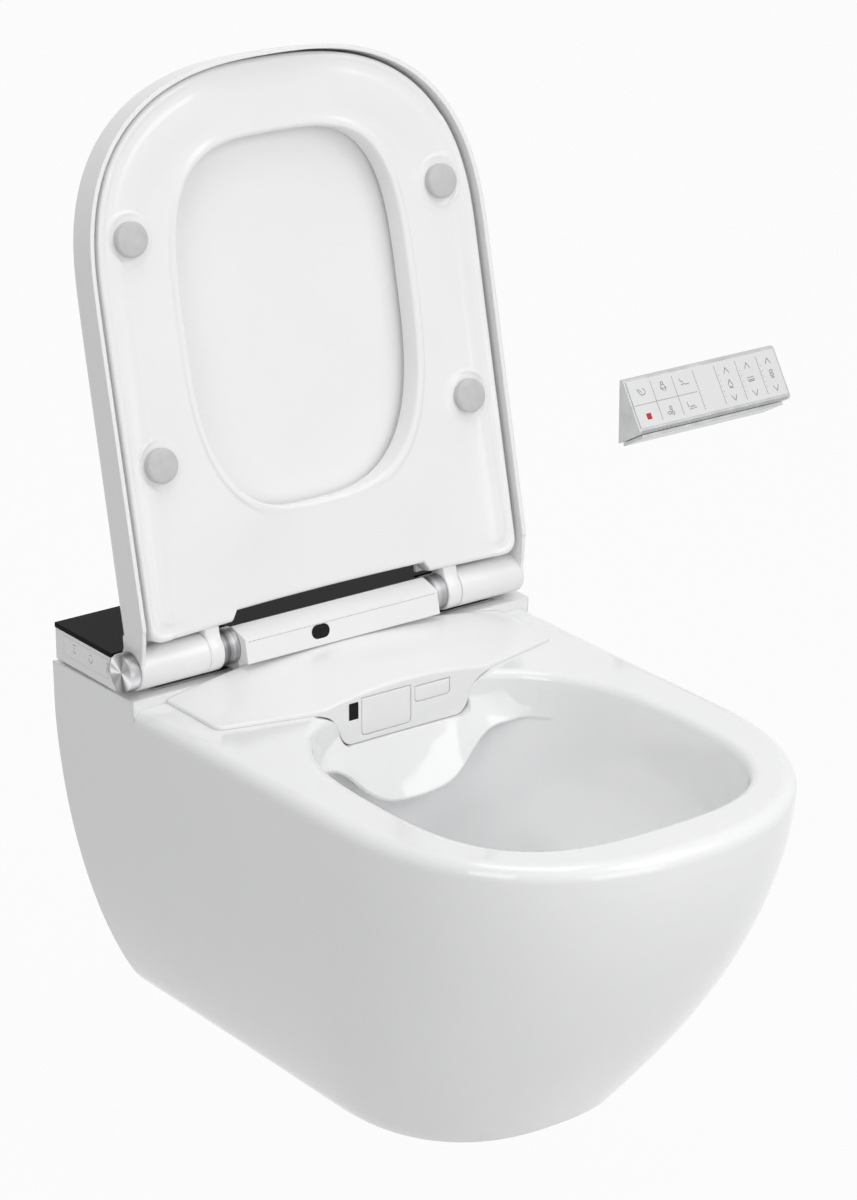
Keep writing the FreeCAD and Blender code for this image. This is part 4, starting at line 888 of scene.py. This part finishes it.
# ------------------------------------------------------------------ stage, lights
def seen_directly(tree):
    """One for camera, gloss and glass rays, nought for the soft light that falls on the object."""
    path = tree.nodes.new("ShaderNodeLightPath")
    total = path.outputs["Is Camera Ray"]
    for kind in ("Is Glossy Ray", "Is Transmission Ray"):
        total = math_node(tree, "MAXIMUM", total, path.outputs[kind])
    return total


def make_stage():
    """A pale floor that keeps the shadow, and soft light that is strongest from above on the right."""
    bpy.ops.mesh.primitive_plane_add(size=16, location=(0, 0, -0.30))
    floor = bpy.context.object
    floor.name = "floor"
    material, tree, shader = new_material("floor_white")
    shader.inputs["Base Color"].default_value = (0.57, 0.57, 0.57, 1)
    shader.inputs["Roughness"].default_value = 0.9
    glow = tree.nodes.new("ShaderNodeEmission")
    glow.inputs["Strength"].default_value = 1.0
    mix = tree.nodes.new("ShaderNodeMixShader")
    tree.links.new(math_node(tree, "MULTIPLY", seen_directly(tree), 0.95), mix.inputs["Fac"])
    out = next(n for n in tree.nodes if n.type == "OUTPUT_MATERIAL")
    tree.links.new(shader.outputs["BSDF"], mix.inputs[1])
    tree.links.new(glow.outputs["Emission"], mix.inputs[2])
    tree.links.new(mix.outputs["Shader"], out.inputs["Surface"])
    floor.data.materials.append(material)

    world = bpy.data.worlds.new("studio")
    scene.world = world
    world.use_nodes = True
    tree = world.node_tree
    back = tree.nodes["Background"]
    back.inputs["Color"].default_value = (1, 1, 1, 1)
    place = tree.nodes.new("ShaderNodeTexCoord")
    tilt = tree.nodes.new("ShaderNodeVectorMath")
    tilt.operation = "DOT_PRODUCT"
    tilt.inputs[1].default_value = (0.45, -0.25, 0.86)
    tree.links.new(place.outputs["Generated"], tilt.inputs[0])
    soft = tree.nodes.new("ShaderNodeMapRange")
    soft.inputs["From Min"].default_value = -1.0
    soft.inputs["To Min"].default_value = 0.21
    soft.inputs["To Max"].default_value = 0.63
    tree.links.new(tilt.outputs["Value"], soft.inputs["Value"])
    mix = tree.nodes.new("ShaderNodeMix")
    mix.inputs["B"].default_value = 1.0
    tree.links.new(seen_directly(tree), mix.inputs["Factor"])
    tree.links.new(soft.outputs["Result"], mix.inputs["A"])
    tree.links.new(mix.outputs["Result"], back.inputs["Strength"])


def area_light(name, place, target, size, power, tall=None):
    data = bpy.data.lights.new(name, "AREA")
    data.energy = power
    data.shape = "RECTANGLE"
    data.size = size
    data.size_y = tall or size
    lamp = bpy.data.objects.new(name, data)
    lamp.matrix_world = aimed(Vector(place), Vector(target))
    scene.collection.objects.link(lamp)


def make_lights():
    area_light("key", (1.0, -2.1, 1.9), (0, -0.25, 0.1), 1.5, 16)
    area_light("top", (-0.2, -0.5, 2.6), (0, -0.3, 0.1), 1.4, 13)
    area_light("left", (-2.2, -1.6, 1.0), (0, -0.25, 0.1), 1.0, 10, 1.4)
    area_light("low", (0.1, -2.0, 0.08), (0, -0.4, -0.05), 1.0, 5)


# ------------------------------------------------------------------------- finish
make_camera()
scene.view_settings.view_transform = "Standard"
dress_frame()
make_cover()
make_flaps()
make_seat()
make_bumpers()
make_knob()
make_cheeks()
make_remote_marks()
make_remote_ribs()
make_casing_marks()
make_seam()
make_stage()
make_lights()

bpy.context.view_layer.update()
